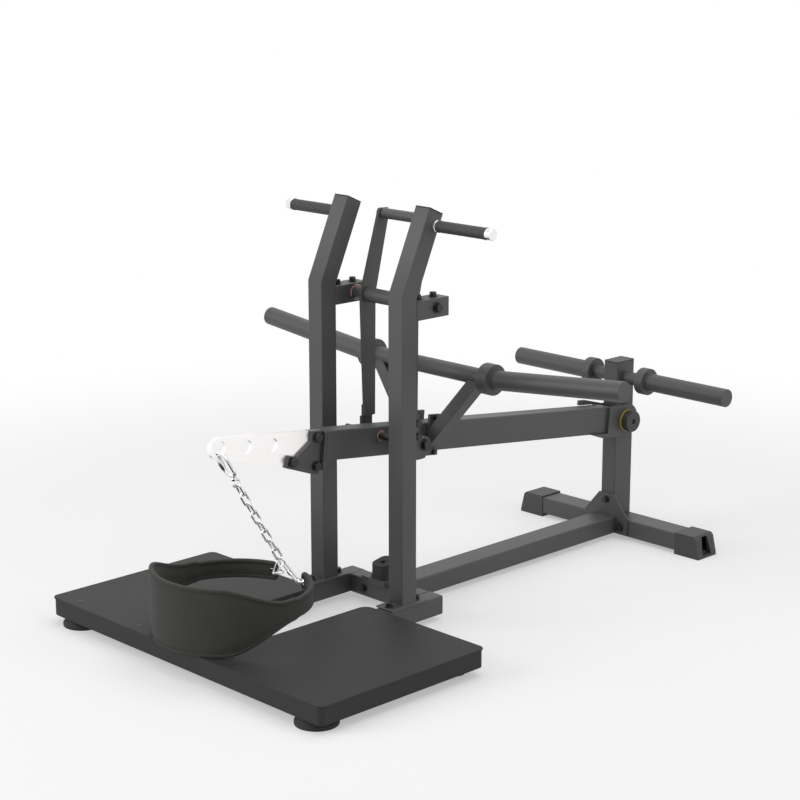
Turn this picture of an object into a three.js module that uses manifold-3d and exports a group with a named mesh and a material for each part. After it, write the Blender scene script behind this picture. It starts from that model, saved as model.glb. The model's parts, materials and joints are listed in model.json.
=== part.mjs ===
// Belt squat machine: a lever arm with two weight horns, a lock lever between two
// uprights, a platform with a notch, and a padded belt on a chain.
// Millimetres, +Z up. +X is the machine's right, +Y runs from the platform to the
// rear post, and the origin is under the middle of the whole machine.

import * as THREE from 'three'
import { mergeVertices } from 'three/addons/utils/BufferGeometryUtils.js'
import Module from 'manifold-3d'

const wasm = await Module()
wasm.setup()

// Clearances and shared stock sizes
const gap = 0.3
const overrun = 2
const weld = 0.3
const wall = 3
const tubeWidth = 50
const tubeCorner = 4
const plateThick = 8
const roundSides = 28
const smallSides = 12
const wireSides = 6
const hookSides = 10
const ringSides = 16
const cornerSteps = 2
const wireSteps = 4
const hookSteps = 6
const deckSteps = 4
const rimSteps = 3
const lobeSteps = 8
const pullSteps = 14
const cheekSteps = 20
const beltSteps = 40

// Platform
const deck = { halfWidth: 512, front: -795, rear: -268, top: 70, thick: 4, corner: 18, lip: 3 }
const skirt = { bottom: 22, thick: 4 }
const notch = { halfWidth: 97, front: -702, corner: 26, mouth: 26 }
const foot = { radius: 52, lip: 9, topRadius: 38, fromSide: 68, inset: 49 }
const rearFoot = { radius: 30, lip: 15, topRadius: 26, inset: 42 }
const rib = { width: 40, height: 30, fromNotch: 70 }

// Base frame
const rail = { x: 146, bottom: 15, rear: -68 }
const crossTube = { front: -118 }
const mainTube = { halfWidth: 37.5, rear: 779.7 }
const rearFlange = { thick: 5.4, halfWidth: 79, shoulder: 66, top: 128, topHalfWidth: 27 }
const footBar = { bottom: 10, halfWidth: 318 }
const footCap = {
  cover: 69, beyond: 17, over: 4, front: 2, height: 64, sideHeight: 8, shoulder: 57, taper: 12, round: 8,
}
const capSlot = { halfWidth: 20, topHalfWidth: 11, bottom: 8, top: 59, depth: 18 }
const post = { depth: 75, top: 514, cap: 4 }
const bracket = { halfWidth: 79, thick: 6, edge: 1 }
const pedestal = { halfWidth: 30, front: -142, rear: -88, height: 12.4 }
const bumper = {
  halfWidth: 26, front: -140, rear: -82, height: 37, slope: 10.87, corner: 18, flange: 3, flangeHeight: 6,
  holeFromFront: 25, holeRadius: 8, seat: 15,
}

// Uprights, handles and the lever axle
const upright = { inner: 121, front: -213, kneeZ: 858, lean: 24.1, topLength: 227.8, capThick: 2.5 }
const basePlate = { halfWidth: 30, front: -252, rear: -124, thick: 4.7 }
const pivotBlock = { rear: -52, bottom: 793, height: 48 }
const leverPivot = { y: -94, z: 818 }
const leverAxleRadius = 10
const axleHead = { radius: 15, thick: 5 }
const handle = { y: -102, z: 1021, end: 365, radius: 15, coreRadius: 11, ringLength: 12, capLength: 18 }

// Lock lever
const lever = { inner: 74, topWidth: 30, axleWidth: 50, lowWidth: 36, topZ: 202, lowZ: -318, topY: 55, lowY: 4 }
const leverSleeve = { radius: 18.5, halfWidth: 117.5 }
const leverBar = { radius: 13.5, overhang: 6 }
const buffer = { y: 40.5, z: -372, radius: 20.5, thick: 16 }

// Hook plates on the lever, measured from its pivot
const hookPlate = {
  top: -289, front: -12, rear: 20, shoulder: -342, lowRear: 50, lowRearZ: -396, bottom: -408,
  lobe: 21, lobeLow: 30, lobeHigh: 120,
}
const hookJaw = { heel: 14.5, tip: -43, tipBottom: -381, top: -358, throat: -18, throatTop: -318 }

// Arm
const armPivot = { y: 822, z: 344 }
const armSlope = 6.73
const beam = { front: -1160, rear: -68, height: 76.6, centre: 1.9 }
const headPlate = { thick: 8, bottom: -60 }
const cheek = {
  thick: 8.7, front: -79, toe: -150, toeTop: -34.8, toeMiddle: -102, toeDepth: -46.3, arcRadius: 48,
}
const wedge = { front: -147, rise: 13.6, shoulder: -119, rear: -37 }
const axle = { radius: 12.5, fit: 0.1, halfLength: 50 }
const yellowRing = { radius: 31.5, thick: 3 }
const axleCap = { radius: 30, thick: 22.4, socketRadius: 8, socketDepth: 6 }
const pull = {
  thick: 10, noseY: -1489, noseZ: 13.4, noseRadius: 27, lowY: -1268, lowZ: -54, rearZ: -58, holeRadius: 17.5,
}
const pullHoles = [[-1486, 13.9], [-1405, 12.6], [-1323, 11.4]]
const clamp = {
  thick: 8, top: 39, topFront: -1203, neckZ: 13, waistY: -1246, waistZ: -22, lipY: -1272, lipZ: -18,
}
const clampFoot = { frontY: -1278, frontZ: -48, lowY: -1197, lowZ: -68, rearZ: -72 }
const catchShaft = { y: -979, z: 16.5, radius: 9, halfLength: 100 }
const braceFlange = { front: -812, rear: -774, bottom: -46, top: 62 }
const cross = { y: -796, z: 184.6, radius: 21.5, braceShare: 0.25 }
const collar = { inner: 199, outer: 233, radius: 40 }
const horn = { end: 624.5, radius: 25, sweepY: 4.3, riseZ: 38 }
const brace = { width: 37, thick: 34, startX: 32.7, startZ: -3, endX: 186 }

// Storage horns on the rear post
const storage = {
  y: 823, z: 469, end: 382, radius: 25, stubRadius: 18, collarInner: 84, collarOuter: 112, collarRadius: 38,
}

// Snap hook, chain and belt
const wire = { hook: 4.5, link: 3 }
const hook = { halfWidth: 18, length: 76, rim: 2.1, gateStart: 18, gateEnd: 58, gateRadius: 3.4 }
const swivel = { radius: 7, length: 8, eyeRadius: 9 }
const apex = { y: -463, z: 210 }
const link = { pitch: 31.3, halfWidth: 8, count: 8 }
const joinRing = { radius: 12, wire: 2.5 }
const endHook = { halfWidth: 7, wire: 2 }
const belt = { x: 0, y: -620, radius: 198, thick: 10, openHalf: 14, rim: 6, waist: 14 }
const beltTop = { high: 240, low: 188, from: 40, to: 95 }
const beltBottom = { low: 70.3, high: 139, from: 42, to: 100 }
const beltRing = { radius: 14, wire: 2.5, holeRadius: 4.1 }

const paints = {
  frame: { color: 0x3d3d3c, roughness: 0.55, metalness: 0.4 },
  rubber: { color: 0x1d1d1d, roughness: 0.9, metalness: 0 },
  plastic: { color: 0x2a2a2a, roughness: 0.6, metalness: 0 },
  chrome: { color: 0xd9dadb, roughness: 0.15, metalness: 1 },
  yellow: { color: 0xc9a61d, roughness: 0.5, metalness: 0 },
  black: { color: 0x262626, roughness: 0.45, metalness: 0.6 },
  cloth: { color: 0x343431, roughness: 0.95, metalness: 0 },
}

// Boolean work and small shape makers

function solidOf(geometry) {
  const bare = geometry.clone()
  bare.deleteAttribute('normal')
  bare.deleteAttribute('uv')
  const merged = mergeVertices(bare, 1e-4)
  const vertProperties = new Float32Array(merged.attributes.position.array)
  const triVerts = new Uint32Array(merged.index.array)
  return new wasm.Manifold(new wasm.Mesh({ numProp: 3, vertProperties, triVerts }))
}

function geometryOf(solid) {
  const mesh = solid.getMesh()
  const geometry = new THREE.BufferGeometry()
  geometry.setAttribute('position', new THREE.BufferAttribute(mesh.vertProperties, 3))
  geometry.setIndex(new THREE.BufferAttribute(mesh.triVerts, 1))
  geometry.computeVertexNormals()
  return geometry
}

function cut(geometry, ...tools) {
  return geometryOf(tools.reduce((solid, tool) => solid.subtract(solidOf(tool)), solidOf(geometry)))
}

function join(...pieces) {
  return geometryOf(pieces.map(solidOf).reduce((whole, piece) => whole.add(piece)))
}

function box(x0, x1, y0, y1, z0, z1) {
  const geometry = new THREE.BoxGeometry(x1 - x0, y1 - y0, z1 - z0)
  return geometry.translate((x0 + x1) / 2, (y0 + y1) / 2, (z0 + z1) / 2)
}

function rodX(radius, x0, x1, y, z, sides = roundSides) {
  const geometry = new THREE.CylinderGeometry(radius, radius, x1 - x0, sides)
  return geometry.rotateZ(Math.PI / 2).translate((x0 + x1) / 2, y, z)
}

function rodY(radius, y0, y1, x, z, sides = roundSides) {
  return new THREE.CylinderGeometry(radius, radius, y1 - y0, sides).translate(x, (y0 + y1) / 2, z)
}

function rodZ(radius, z0, z1, x, y, sides = roundSides) {
  const geometry = new THREE.CylinderGeometry(radius, radius, z1 - z0, sides)
  return geometry.rotateX(Math.PI / 2).translate(x, y, (z0 + z1) / 2)
}

function outline(points) {
  return new THREE.Shape(points.map(([a, b]) => new THREE.Vector2(a, b)))
}

function roundedOutline(a0, a1, b0, b1, radius) {
  const shape = new THREE.Shape()
  shape.moveTo(a0 + radius, b0)
  shape.lineTo(a1 - radius, b0)
  shape.absarc(a1 - radius, b0 + radius, radius, -Math.PI / 2, 0)
  shape.absarc(a1 - radius, b1 - radius, radius, 0, Math.PI / 2)
  shape.absarc(a0 + radius, b1 - radius, radius, Math.PI / 2, Math.PI)
  shape.absarc(a0 + radius, b0 + radius, radius, Math.PI, 3 * Math.PI / 2)
  return shape
}

function extrude(shape, depth, curveSegments = cornerSteps) {
  return new THREE.ExtrudeGeometry(shape, { depth, bevelEnabled: false, curveSegments })
}

// A (y, z) outline swept from x0 to x1
function alongX(shape, x0, x1, curveSegments) {
  const axes = new THREE.Matrix4().set(0, 0, 1, x0, 1, 0, 0, 0, 0, 1, 0, 0, 0, 0, 0, 1)
  return extrude(shape, x1 - x0, curveSegments).applyMatrix4(axes)
}

// An (x, z) outline swept from y0 to y1
function alongY(shape, y0, y1, curveSegments) {
  return extrude(shape, y1 - y0, curveSegments).rotateX(Math.PI / 2).translate(0, y1, 0)
}

// An (x, y) outline swept from z0 to z1
function alongZ(shape, z0, z1, curveSegments) {
  return extrude(shape, z1 - z0, curveSegments).translate(0, 0, z0)
}

function tubeOutline(a0, a1, b0, b1, thick = wall) {
  const shape = roundedOutline(a0, a1, b0, b1, tubeCorner)
  shape.holes.push(roundedOutline(a0 + thick, a1 - thick, b0 + thick, b1 - thick, tubeCorner - thick / 2))
  return shape
}

// A round ring about X
function ringX(outer, inner, x0, x1, y, z) {
  return cut(rodX(outer, x0, x1, y, z), rodX(inner, x0 - overrun, x1 + overrun, y, z))
}

// A mirrored copy needs its faces wound the other way round
function mirrored(geometry) {
  const copy = geometry.index ? geometry.clone() : mergeVertices(geometry)
  return flipped(copy.scale(-1, 1, 1))
}

function bothSides(...pieces) {
  return join(...pieces, ...pieces.map(mirrored))
}

// A closed wire loop with straight sides along Y, in the XY plane, both end
// centres at y = 0 and y = -length
function wireLoop(halfWidth, length, radius, arcSteps = wireSteps, sides = wireSides) {
  const straight = length - 2 * halfWidth
  const rings = []
  for (const [turn, y] of [[0, -halfWidth], [1, -halfWidth - straight]]) {
    for (let i = 0; i <= arcSteps; i++) {
      const angle = Math.PI * (turn + i / arcSteps)
      rings.push([halfWidth * Math.cos(angle), y + halfWidth * Math.sin(angle), angle])
    }
  }
  if (straight === 0) {
    rings.splice(arcSteps, 1)
    rings.pop()
  }
  const positions = []
  for (const [x, y, angle] of rings) {
    for (let j = 0; j < sides; j++) {
      const side = 2 * Math.PI * j / sides
      const out = radius * Math.cos(side)
      positions.push(x + out * Math.cos(angle), y + out * Math.sin(angle), radius * Math.sin(side))
    }
  }
  return closedSurface(positions, rings.length, sides, true)
}

// Rings of points joined into a closed surface: round on itself, or with two end faces
function closedSurface(positions, rings, sides, round) {
  const index = []
  for (let i = 0; i < (round ? rings : rings - 1); i++) {
    for (let j = 0; j < sides; j++) {
      const a = i * sides + j
      const b = i * sides + (j + 1) % sides
      const c = ((i + 1) % rings) * sides + j
      const d = ((i + 1) % rings) * sides + (j + 1) % sides
      index.push(a, c, b, b, c, d)
    }
  }
  for (let j = 1; !round && j < sides - 1; j++) {
    const last = (rings - 1) * sides
    index.push(0, j, j + 1, last, last + j + 1, last + j)
  }
  const geometry = new THREE.BufferGeometry()
  geometry.setAttribute('position', new THREE.BufferAttribute(new Float32Array(positions), 3))
  geometry.setIndex(new THREE.BufferAttribute(new Uint32Array(index), 1))
  return enclosedVolume(geometry) < 0 ? flipped(geometry) : geometry
}

function enclosedVolume(geometry) {
  const corner = [0, 1, 2].map(() => new THREE.Vector3())
  const index = geometry.index.array
  let sum = 0
  for (let i = 0; i < index.length; i += 3) {
    corner.forEach((point, k) => point.fromBufferAttribute(geometry.attributes.position, index[i + k]))
    sum += corner[0].dot(corner[1].cross(corner[2])) / 6
  }
  return sum
}

function flipped(geometry) {
  const index = geometry.index.array
  for (let i = 0; i < index.length; i += 3) {
    const first = index[i]
    index[i] = index[i + 1]
    index[i + 1] = first
  }
  return geometry
}

const degrees = THREE.MathUtils.degToRad
const paintOf = Object.fromEntries(
  Object.entries(paints).map(([name, look]) => [name, new THREE.MeshStandardMaterial(look)]),
)

function place(group, name, geometry, paint) {
  const mesh = new THREE.Mesh(geometry, paintOf[paint].clone())
  mesh.name = name
  group.add(mesh)
  return mesh
}

// A piece on the right and its mirrored copy on the left
function placePair(group, name, geometry, paint) {
  place(group, name + '_right', geometry, paint)
  place(group, name + '_left', mirrored(geometry), paint)
}

// The whole machine, moved so that the origin lies under its middle
const rearFlangeRear = mainTube.rear + gap + rearFlange.thick
const postFront = rearFlangeRear + gap
const machine = new THREE.Group()
const root = new THREE.Group()
root.position.y = -(deck.front + postFront + post.depth + footCap.over) / 2
machine.add(root)

// Platform deck: a plate with a notch open to the rear, and a skirt under its edge
function deckOutline(inset) {
  const side = deck.halfWidth - inset
  const front = deck.front + inset
  const rear = deck.rear - inset
  const inner = notch.halfWidth + inset
  const notchFront = notch.front - inset
  const corner = deck.corner - inset
  const mouth = notch.mouth - inset
  const deep = notch.corner + inset
  const shape = new THREE.Shape()
  shape.absarc(side - corner, front + corner, corner, -Math.PI / 2, 0)
  shape.absarc(side - corner, rear - corner, corner, 0, Math.PI / 2)
  shape.absarc(inner + mouth, rear - mouth, mouth, Math.PI / 2, Math.PI)
  shape.absarc(inner - deep, notchFront + deep, deep, 0, -Math.PI / 2, true)
  shape.absarc(-inner + deep, notchFront + deep, deep, -Math.PI / 2, -Math.PI, true)
  shape.absarc(-inner - mouth, rear - mouth, mouth, 0, Math.PI / 2)
  shape.absarc(-side + corner, rear - corner, corner, Math.PI / 2, Math.PI)
  shape.absarc(-side + corner, front + corner, corner, Math.PI, 3 * Math.PI / 2)
  return shape
}

const deckUnderside = deck.top - deck.thick
const deckPlate = alongZ(deckOutline(0), deckUnderside, deck.top, deckSteps)
const skirtBlock = alongZ(deckOutline(deck.lip), skirt.bottom, deckUnderside + deck.thick / 2, deckSteps)
const skirtInside = alongZ(deckOutline(deck.lip + skirt.thick), skirt.bottom - overrun, deckUnderside,
  deckSteps)
place(root, 'platform_deck', join(deckPlate, cut(skirtBlock, skirtInside)), 'frame')

// Ribs under the deck: two along each side and one across the front
const ribTop = deckUnderside - gap
const insideSkirt = deck.lip + skirt.thick + gap
const footX = deck.halfWidth - foot.fromSide
const sideRib = box(footX - rib.width / 2, footX + rib.width / 2, deck.front + insideSkirt,
  deck.rear - insideSkirt, skirt.bottom, ribTop)
const innerRib = box(notch.halfWidth + rib.fromNotch, notch.halfWidth + rib.fromNotch + rib.width,
  deck.front + insideSkirt, deck.rear - insideSkirt, ribTop - rib.height, ribTop)
const crossRib = box(-footX, footX, deck.front + insideSkirt,
  deck.front + insideSkirt + rib.width, ribTop - rib.height, ribTop)
place(root, 'platform_ribs', join(bothSides(sideRib, innerRib), crossRib), 'frame')

function footAt(shape, y) {
  const height = skirt.bottom - gap - shape.lip
  const cone = new THREE.CylinderGeometry(shape.topRadius, shape.radius, height, roundSides)
    .rotateX(Math.PI / 2)
    .translate(footX, y, shape.lip + height / 2)
  return join(rodZ(shape.radius, 0, shape.lip, footX, y), cone)
}
placePair(root, 'platform_foot_front', footAt(foot, deck.front + foot.inset), 'rubber')
placePair(root, 'platform_foot_rear', footAt(rearFoot, deck.rear - rearFoot.inset), 'rubber')

// Base frame of square tube
const railTop = rail.bottom + tubeWidth
const railInner = rail.x - tubeWidth / 2
const railOuter = rail.x + tubeWidth / 2
const railTube = alongY(tubeOutline(railInner, railOuter, rail.bottom, railTop),
  deck.rear - deck.lip + gap, rail.rear)
placePair(root, 'rail', railTube, 'frame')

const crossRear = crossTube.front + tubeWidth
const crossOutline = tubeOutline(crossTube.front, crossRear, rail.bottom, railTop)
const crossEndX = rail.x - tubeWidth / 2 - gap
place(root, 'cross_tube', alongX(crossOutline, -crossEndX, crossEndX), 'frame')
place(root, 'main_tube', alongY(tubeOutline(-mainTube.halfWidth, mainTube.halfWidth, rail.bottom, railTop),
  crossRear + gap, mainTube.rear), 'frame')

// Rear flange plate with its three bolts, the foot bar, its end caps and the post
const flangeOutline = outline([
  [-rearFlange.halfWidth, rail.bottom], [rearFlange.halfWidth, rail.bottom],
  [rearFlange.halfWidth, rearFlange.shoulder], [rearFlange.topHalfWidth, rearFlange.top],
  [-rearFlange.topHalfWidth, rearFlange.top], [-rearFlange.halfWidth, rearFlange.shoulder]])
const flangeFront = mainTube.rear + gap
place(root, 'rear_flange_plate', alongY(flangeOutline, flangeFront, rearFlangeRear), 'frame')

const postRear = postFront + post.depth
const barTop = footBar.bottom + tubeWidth
place(root, 'rear_foot_bar', alongX(tubeOutline(postFront, postRear, footBar.bottom, barTop),
  -footBar.halfWidth, footBar.halfWidth), 'frame')

const capInner = footBar.halfWidth - footCap.cover
const capOuter = footBar.halfWidth + footCap.beyond
const capOutline = outline([
  [capInner, 0], [capOuter, 0], [capOuter, footCap.sideHeight],
  [capOuter - footCap.taper, footCap.shoulder],
  [capOuter - footCap.taper - footCap.round, footCap.height],
  [capInner, footCap.height]])
const capBody = alongY(capOutline, postFront - footCap.front, postRear + footCap.over)
const capHollow = box(capInner - overrun, footBar.halfWidth + gap, postFront - gap, postRear + gap,
  footBar.bottom - gap, barTop + gap)
const postMiddle = (postFront + postRear) / 2
const capRecess = alongX(outline([
  [postMiddle - capSlot.halfWidth, capSlot.bottom], [postMiddle + capSlot.halfWidth, capSlot.bottom],
  [postMiddle + capSlot.topHalfWidth, capSlot.top], [postMiddle - capSlot.topHalfWidth, capSlot.top]]),
  capOuter - capSlot.depth, capOuter + overrun)
const rearCap = cut(capBody, capHollow, capRecess)
placePair(root, 'rear_cap', rearCap, 'plastic')

const postBore = rodX(axle.radius + axle.fit, -tubeWidth, tubeWidth, armPivot.y, armPivot.z, roundSides)
const postTube = alongZ(tubeOutline(-tubeWidth / 2, tubeWidth / 2, postFront, postRear), barTop + gap, post.top)
place(root, 'rear_post', cut(postTube, postBore), 'frame')
place(root, 'post_cap', alongZ(roundedOutline(-tubeWidth / 2, tubeWidth / 2, postFront, postRear, tubeCorner),
  post.top + gap, post.top + gap + post.cap), 'plastic')

// Storage horns on the post
const storageStart = tubeWidth / 2 + gap
const storageHorn = join(
  rodX(storage.stubRadius, storageStart, storage.collarInner + overrun, storage.y, storage.z),
  rodX(storage.collarRadius, storage.collarInner, storage.collarOuter, storage.y, storage.z),
  rodX(storage.radius, storage.collarOuter - overrun, storage.end, storage.y, storage.z))
placePair(root, 'storage_horn', storageHorn, 'frame')

// Bumper bracket on the cross tube, its pedestal and the rubber bumper
const bracketTop = railTop + gap + bracket.thick
const pedestalTop = bracketTop + pedestal.height
place(root, 'bumper_bracket', join(
  box(-bracket.halfWidth, bracket.halfWidth, crossTube.front - bracket.edge, crossRear + bracket.edge - overrun,
    railTop + gap, bracketTop),
  box(-pedestal.halfWidth, pedestal.halfWidth, pedestal.front, pedestal.rear, bracketTop - overrun,
    pedestalTop)),
'frame')

const bumperBottom = pedestalTop + gap
const bumperTop = bumperBottom + bumper.height + (bumper.rear - bumper.front) * Math.tan(degrees(bumper.slope))
function bumperPlan(grown) {
  return roundedOutline(-bumper.halfWidth - grown, bumper.halfWidth + grown, bumper.front - grown,
    bumper.rear + grown, bumper.corner + grown)
}
const bumperBody = alongZ(bumperPlan(0), bumperBottom, bumperTop, wireSteps)
const flangeTop = bumperBottom + bumper.flangeHeight
const bumperFlange = alongZ(bumperPlan(bumper.flange), bumperBottom, flangeTop, wireSteps)
const aboveBumper = alongX(outline([
  [bumper.front, bumperBottom + bumper.height], [bumper.rear, bumperTop], [bumper.rear, bumperTop + overrun],
  [bumper.front, bumperTop + overrun]]), -bumper.halfWidth - overrun, bumper.halfWidth + overrun)
const bumperHole = rodZ(bumper.holeRadius, bumperBottom + bumper.seat, bumperTop + overrun, 0,
  bumper.front + bumper.holeFromFront, smallSides)
place(root, 'bumper_block', cut(join(bumperBody, bumperFlange), aboveBumper, bumperHole), 'rubber')

// Uprights: a straight post, a knee and a top that leans to the rear
const lean = degrees(upright.lean)
const uprightRear = upright.front + tubeWidth
const kneeDrop = tubeWidth * Math.tan(lean / 2)
const basePlateTop = railTop + gap + basePlate.thick
const topFront = [
  upright.front + upright.topLength * Math.sin(lean),
  upright.kneeZ + upright.topLength * Math.cos(lean),
]
const uprightBottom = basePlateTop - basePlate.thick / 2

function uprightOutline(inset, extra) {
  const leanIn = inset * Math.tan(lean / 2)
  const along = [Math.sin(lean) * extra, Math.cos(lean) * extra]
  const across = [Math.cos(lean), -Math.sin(lean)]
  return outline([
    [upright.front + inset, uprightBottom - extra],
    [uprightRear - inset, uprightBottom - extra],
    [uprightRear - inset, upright.kneeZ - kneeDrop + leanIn],
    [topFront[0] + across[0] * (tubeWidth - inset) + along[0],
      topFront[1] + across[1] * (tubeWidth - inset) + along[1]],
    [topFront[0] + across[0] * inset + along[0], topFront[1] + across[1] * inset + along[1]],
    [upright.front + inset, upright.kneeZ - leanIn]])
}
const uprightOuter = upright.inner + tubeWidth
const uprightTube = cut(alongX(uprightOutline(0, 0), upright.inner, uprightOuter),
  alongX(uprightOutline(wall, overrun), upright.inner + wall, uprightOuter - wall))

const uprightCap = box(upright.inner, uprightOuter, 0, tubeWidth, gap, gap + upright.capThick)
  .rotateX(-lean).translate(0, topFront[0], topFront[1])
placePair(root, 'upright_cap', uprightCap, 'plastic')

const basePlateShape = box(rail.x - basePlate.halfWidth, rail.x + basePlate.halfWidth, basePlate.front,
  basePlate.rear, railTop + gap, basePlateTop)
placePair(root, 'upright', join(uprightTube, basePlateShape), 'frame')

// Pivot blocks behind the uprights, their bolts, the lever axle and its rings
const blockTop = pivotBlock.bottom + pivotBlock.height
const axleBore = rodX(leverAxleRadius + gap, upright.inner - overrun, uprightOuter + overrun,
  leverPivot.y, leverPivot.z)
const blockShape = cut(box(upright.inner, uprightOuter, uprightRear + gap, pivotBlock.rear, pivotBlock.bottom,
  blockTop), axleBore)
placePair(root, 'pivot_block', blockShape, 'frame')

const axleEnd = uprightOuter + gap
place(root, 'lever_axle', join(
  rodX(leverAxleRadius, -axleEnd - overrun, axleEnd + overrun, leverPivot.y, leverPivot.z),
  bothSides(rodX(axleHead.radius, axleEnd, axleEnd + axleHead.thick, leverPivot.y, leverPivot.z))), 'black')

// Handles: a chrome bar on each upright with a ring and an end, and a rubber grip between them
const coreStart = uprightOuter + gap
const gripStart = coreStart + handle.ringLength
const gripEnd = handle.end - handle.capLength - gap
placePair(root, 'handle', join(
  rodX(handle.coreRadius, coreStart, handle.end, handle.y, handle.z),
  rodX(handle.radius, coreStart, gripStart - gap, handle.y, handle.z),
  rodX(handle.radius, gripEnd + gap, handle.end, handle.y, handle.z)), 'chrome')
placePair(root, 'handle_grip', ringX(handle.radius, handle.coreRadius + gap, gripStart, gripEnd,
  handle.y, handle.z), 'rubber')

// Lock lever, drawn about its own pivot
const leverGroup = new THREE.Group()
leverGroup.position.set(0, leverPivot.y, leverPivot.z)
root.add(leverGroup)
const leverOuter = lever.inner + plateThick
const sleeveBore = rodX(leverAxleRadius + gap, -uprightOuter, uprightOuter, 0, 0)
const sleeve = rodX(leverSleeve.radius, -leverSleeve.halfWidth, leverSleeve.halfWidth, 0, 0)

const leverOutline = outline([
  [lever.lowY - lever.lowWidth / 2, lever.lowZ], [lever.lowY + lever.lowWidth / 2, lever.lowZ],
  [lever.axleWidth / 2, 0],
  [lever.topY + lever.topWidth / 2, lever.topZ - leverBar.radius],
  [lever.topY + lever.topWidth / 2, lever.topZ + leverBar.radius],
  [lever.topY - lever.topWidth / 2, lever.topZ + leverBar.radius],
  [-lever.axleWidth / 2, 0]])
const topBar = rodX(leverBar.radius, -leverOuter - leverBar.overhang, leverOuter + leverBar.overhang,
  lever.topY, lever.topZ)
const leverBlades = bothSides(alongX(leverOutline, lever.inner, leverOuter))
place(leverGroup, 'lock_lever', cut(join(leverBlades, sleeve, topBar), sleeveBore), 'frame')

// Hook plates with a forward jaw and a throat above it
const hookOutline = new THREE.Shape()
hookOutline.moveTo(hookPlate.front, hookPlate.top)
hookOutline.lineTo(hookPlate.front, hookJaw.throatTop)
hookOutline.lineTo(hookJaw.throat, hookJaw.throatTop)
hookOutline.lineTo(hookJaw.throat, hookJaw.top)
hookOutline.lineTo(hookJaw.tip, hookJaw.top)
hookOutline.lineTo(hookJaw.tip, hookJaw.tipBottom)
hookOutline.lineTo(hookJaw.heel, hookPlate.bottom)
hookOutline.lineTo(buffer.y, hookPlate.bottom)
hookOutline.lineTo(hookPlate.lowRear, hookPlate.lowRearZ)
hookOutline.absarc(buffer.y, buffer.z, hookPlate.lobe, -degrees(hookPlate.lobeLow), degrees(hookPlate.lobeHigh))
hookOutline.lineTo(hookPlate.rear, hookPlate.shoulder)
hookOutline.lineTo(hookPlate.rear, hookPlate.top)
const hookInner = leverOuter + gap
const hookOuter = hookInner + plateThick
const hookShape = alongX(hookOutline, hookInner, hookOuter, lobeSteps)
placePair(leverGroup, 'hook_plate', hookShape, 'frame')
placePair(leverGroup, 'hook_buffer', rodX(buffer.radius, hookInner - gap - buffer.thick, hookInner - gap,
  buffer.y, buffer.z), 'rubber')

// Arm, drawn level about its own pivot and then tilted
const arm = new THREE.Group()
arm.position.set(0, armPivot.y, armPivot.z)
arm.rotation.x = -degrees(armSlope)
root.add(arm)

const beamHalf = tubeWidth / 2
const beamLow = beam.centre - beam.height / 2
const beamTop = beam.centre + beam.height / 2
const catchBore = rodX(catchShaft.radius + gap, -tubeWidth, tubeWidth, catchShaft.y, catchShaft.z)
const beamTube = alongY(tubeOutline(-beamHalf, beamHalf, beamLow, beamTop), beam.front + gap, beam.rear)
const rearPlate = alongY(roundedOutline(-beamHalf, beamHalf, beamLow, beamTop, tubeCorner), beam.rear - wall,
  beam.rear)
place(arm, 'arm_beam', cut(join(beamTube, rearPlate), catchBore), 'frame')
place(arm, 'beam_head_plate', alongY(roundedOutline(-beamHalf, beamHalf, headPlate.bottom, beamTop, tubeCorner),
  beam.front - headPlate.thick, beam.front), 'frame')

// Cheek plates round the rear post; the left one has a wedge on top
const cheekInner = beamHalf + gap
const cheekOuter = cheekInner + cheek.thick
function cheekOutline(withWedge) {
  const shape = new THREE.Shape()
  shape.moveTo(cheek.front, cheek.toeTop)
  shape.lineTo(cheek.toe, cheek.toeTop)
  shape.lineTo(cheek.toeMiddle, cheek.toeDepth)
  shape.lineTo(0, -cheek.arcRadius)
  shape.absarc(0, 0, cheek.arcRadius, -Math.PI / 2, Math.PI / 2)
  if (withWedge) {
    shape.lineTo(wedge.rear, beamTop)
    shape.lineTo(wedge.shoulder, beamTop + wedge.rise)
    shape.lineTo(wedge.front, beamTop + wedge.rise)
    shape.lineTo(wedge.front, beamTop)
  }
  shape.lineTo(cheek.front, beamTop)
  return shape
}
const cheekBore = rodX(axle.radius + gap, cheekInner - overrun, cheekOuter + overrun, 0, 0)
const cheekRight = cut(alongX(cheekOutline(false), cheekInner, cheekOuter, cheekSteps), cheekBore)
const cheekLeft = cut(alongX(cheekOutline(true), cheekInner, cheekOuter, cheekSteps), cheekBore)
place(arm, 'cheek_right', cheekRight, 'frame')
place(arm, 'cheek_left', mirrored(cheekLeft), 'frame')

// Arm axle with its yellow bearing rings and end caps
const yellowStart = cheekOuter + gap
const capStart = yellowStart + yellowRing.thick + gap
const capEnd = capStart + axleCap.thick
place(arm, 'arm_axle', rodX(axle.radius, -axle.halfLength, axle.halfLength, 0, 0), 'black')
placePair(arm, 'bearing_ring', ringX(yellowRing.radius, axle.radius + gap, yellowStart,
  yellowStart + yellowRing.thick, 0, 0), 'yellow')
const axleCapShape = cut(rodX(axleCap.radius, capStart, capEnd, 0, 0),
  rodX(axle.radius + gap, capStart - overrun, axle.halfLength + gap, 0, 0),
  rodX(axleCap.socketRadius, capEnd - axleCap.socketDepth, capEnd + overrun, 0, 0, wireSides))
placePair(arm, 'axle_cap', axleCapShape, 'plastic')

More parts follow.
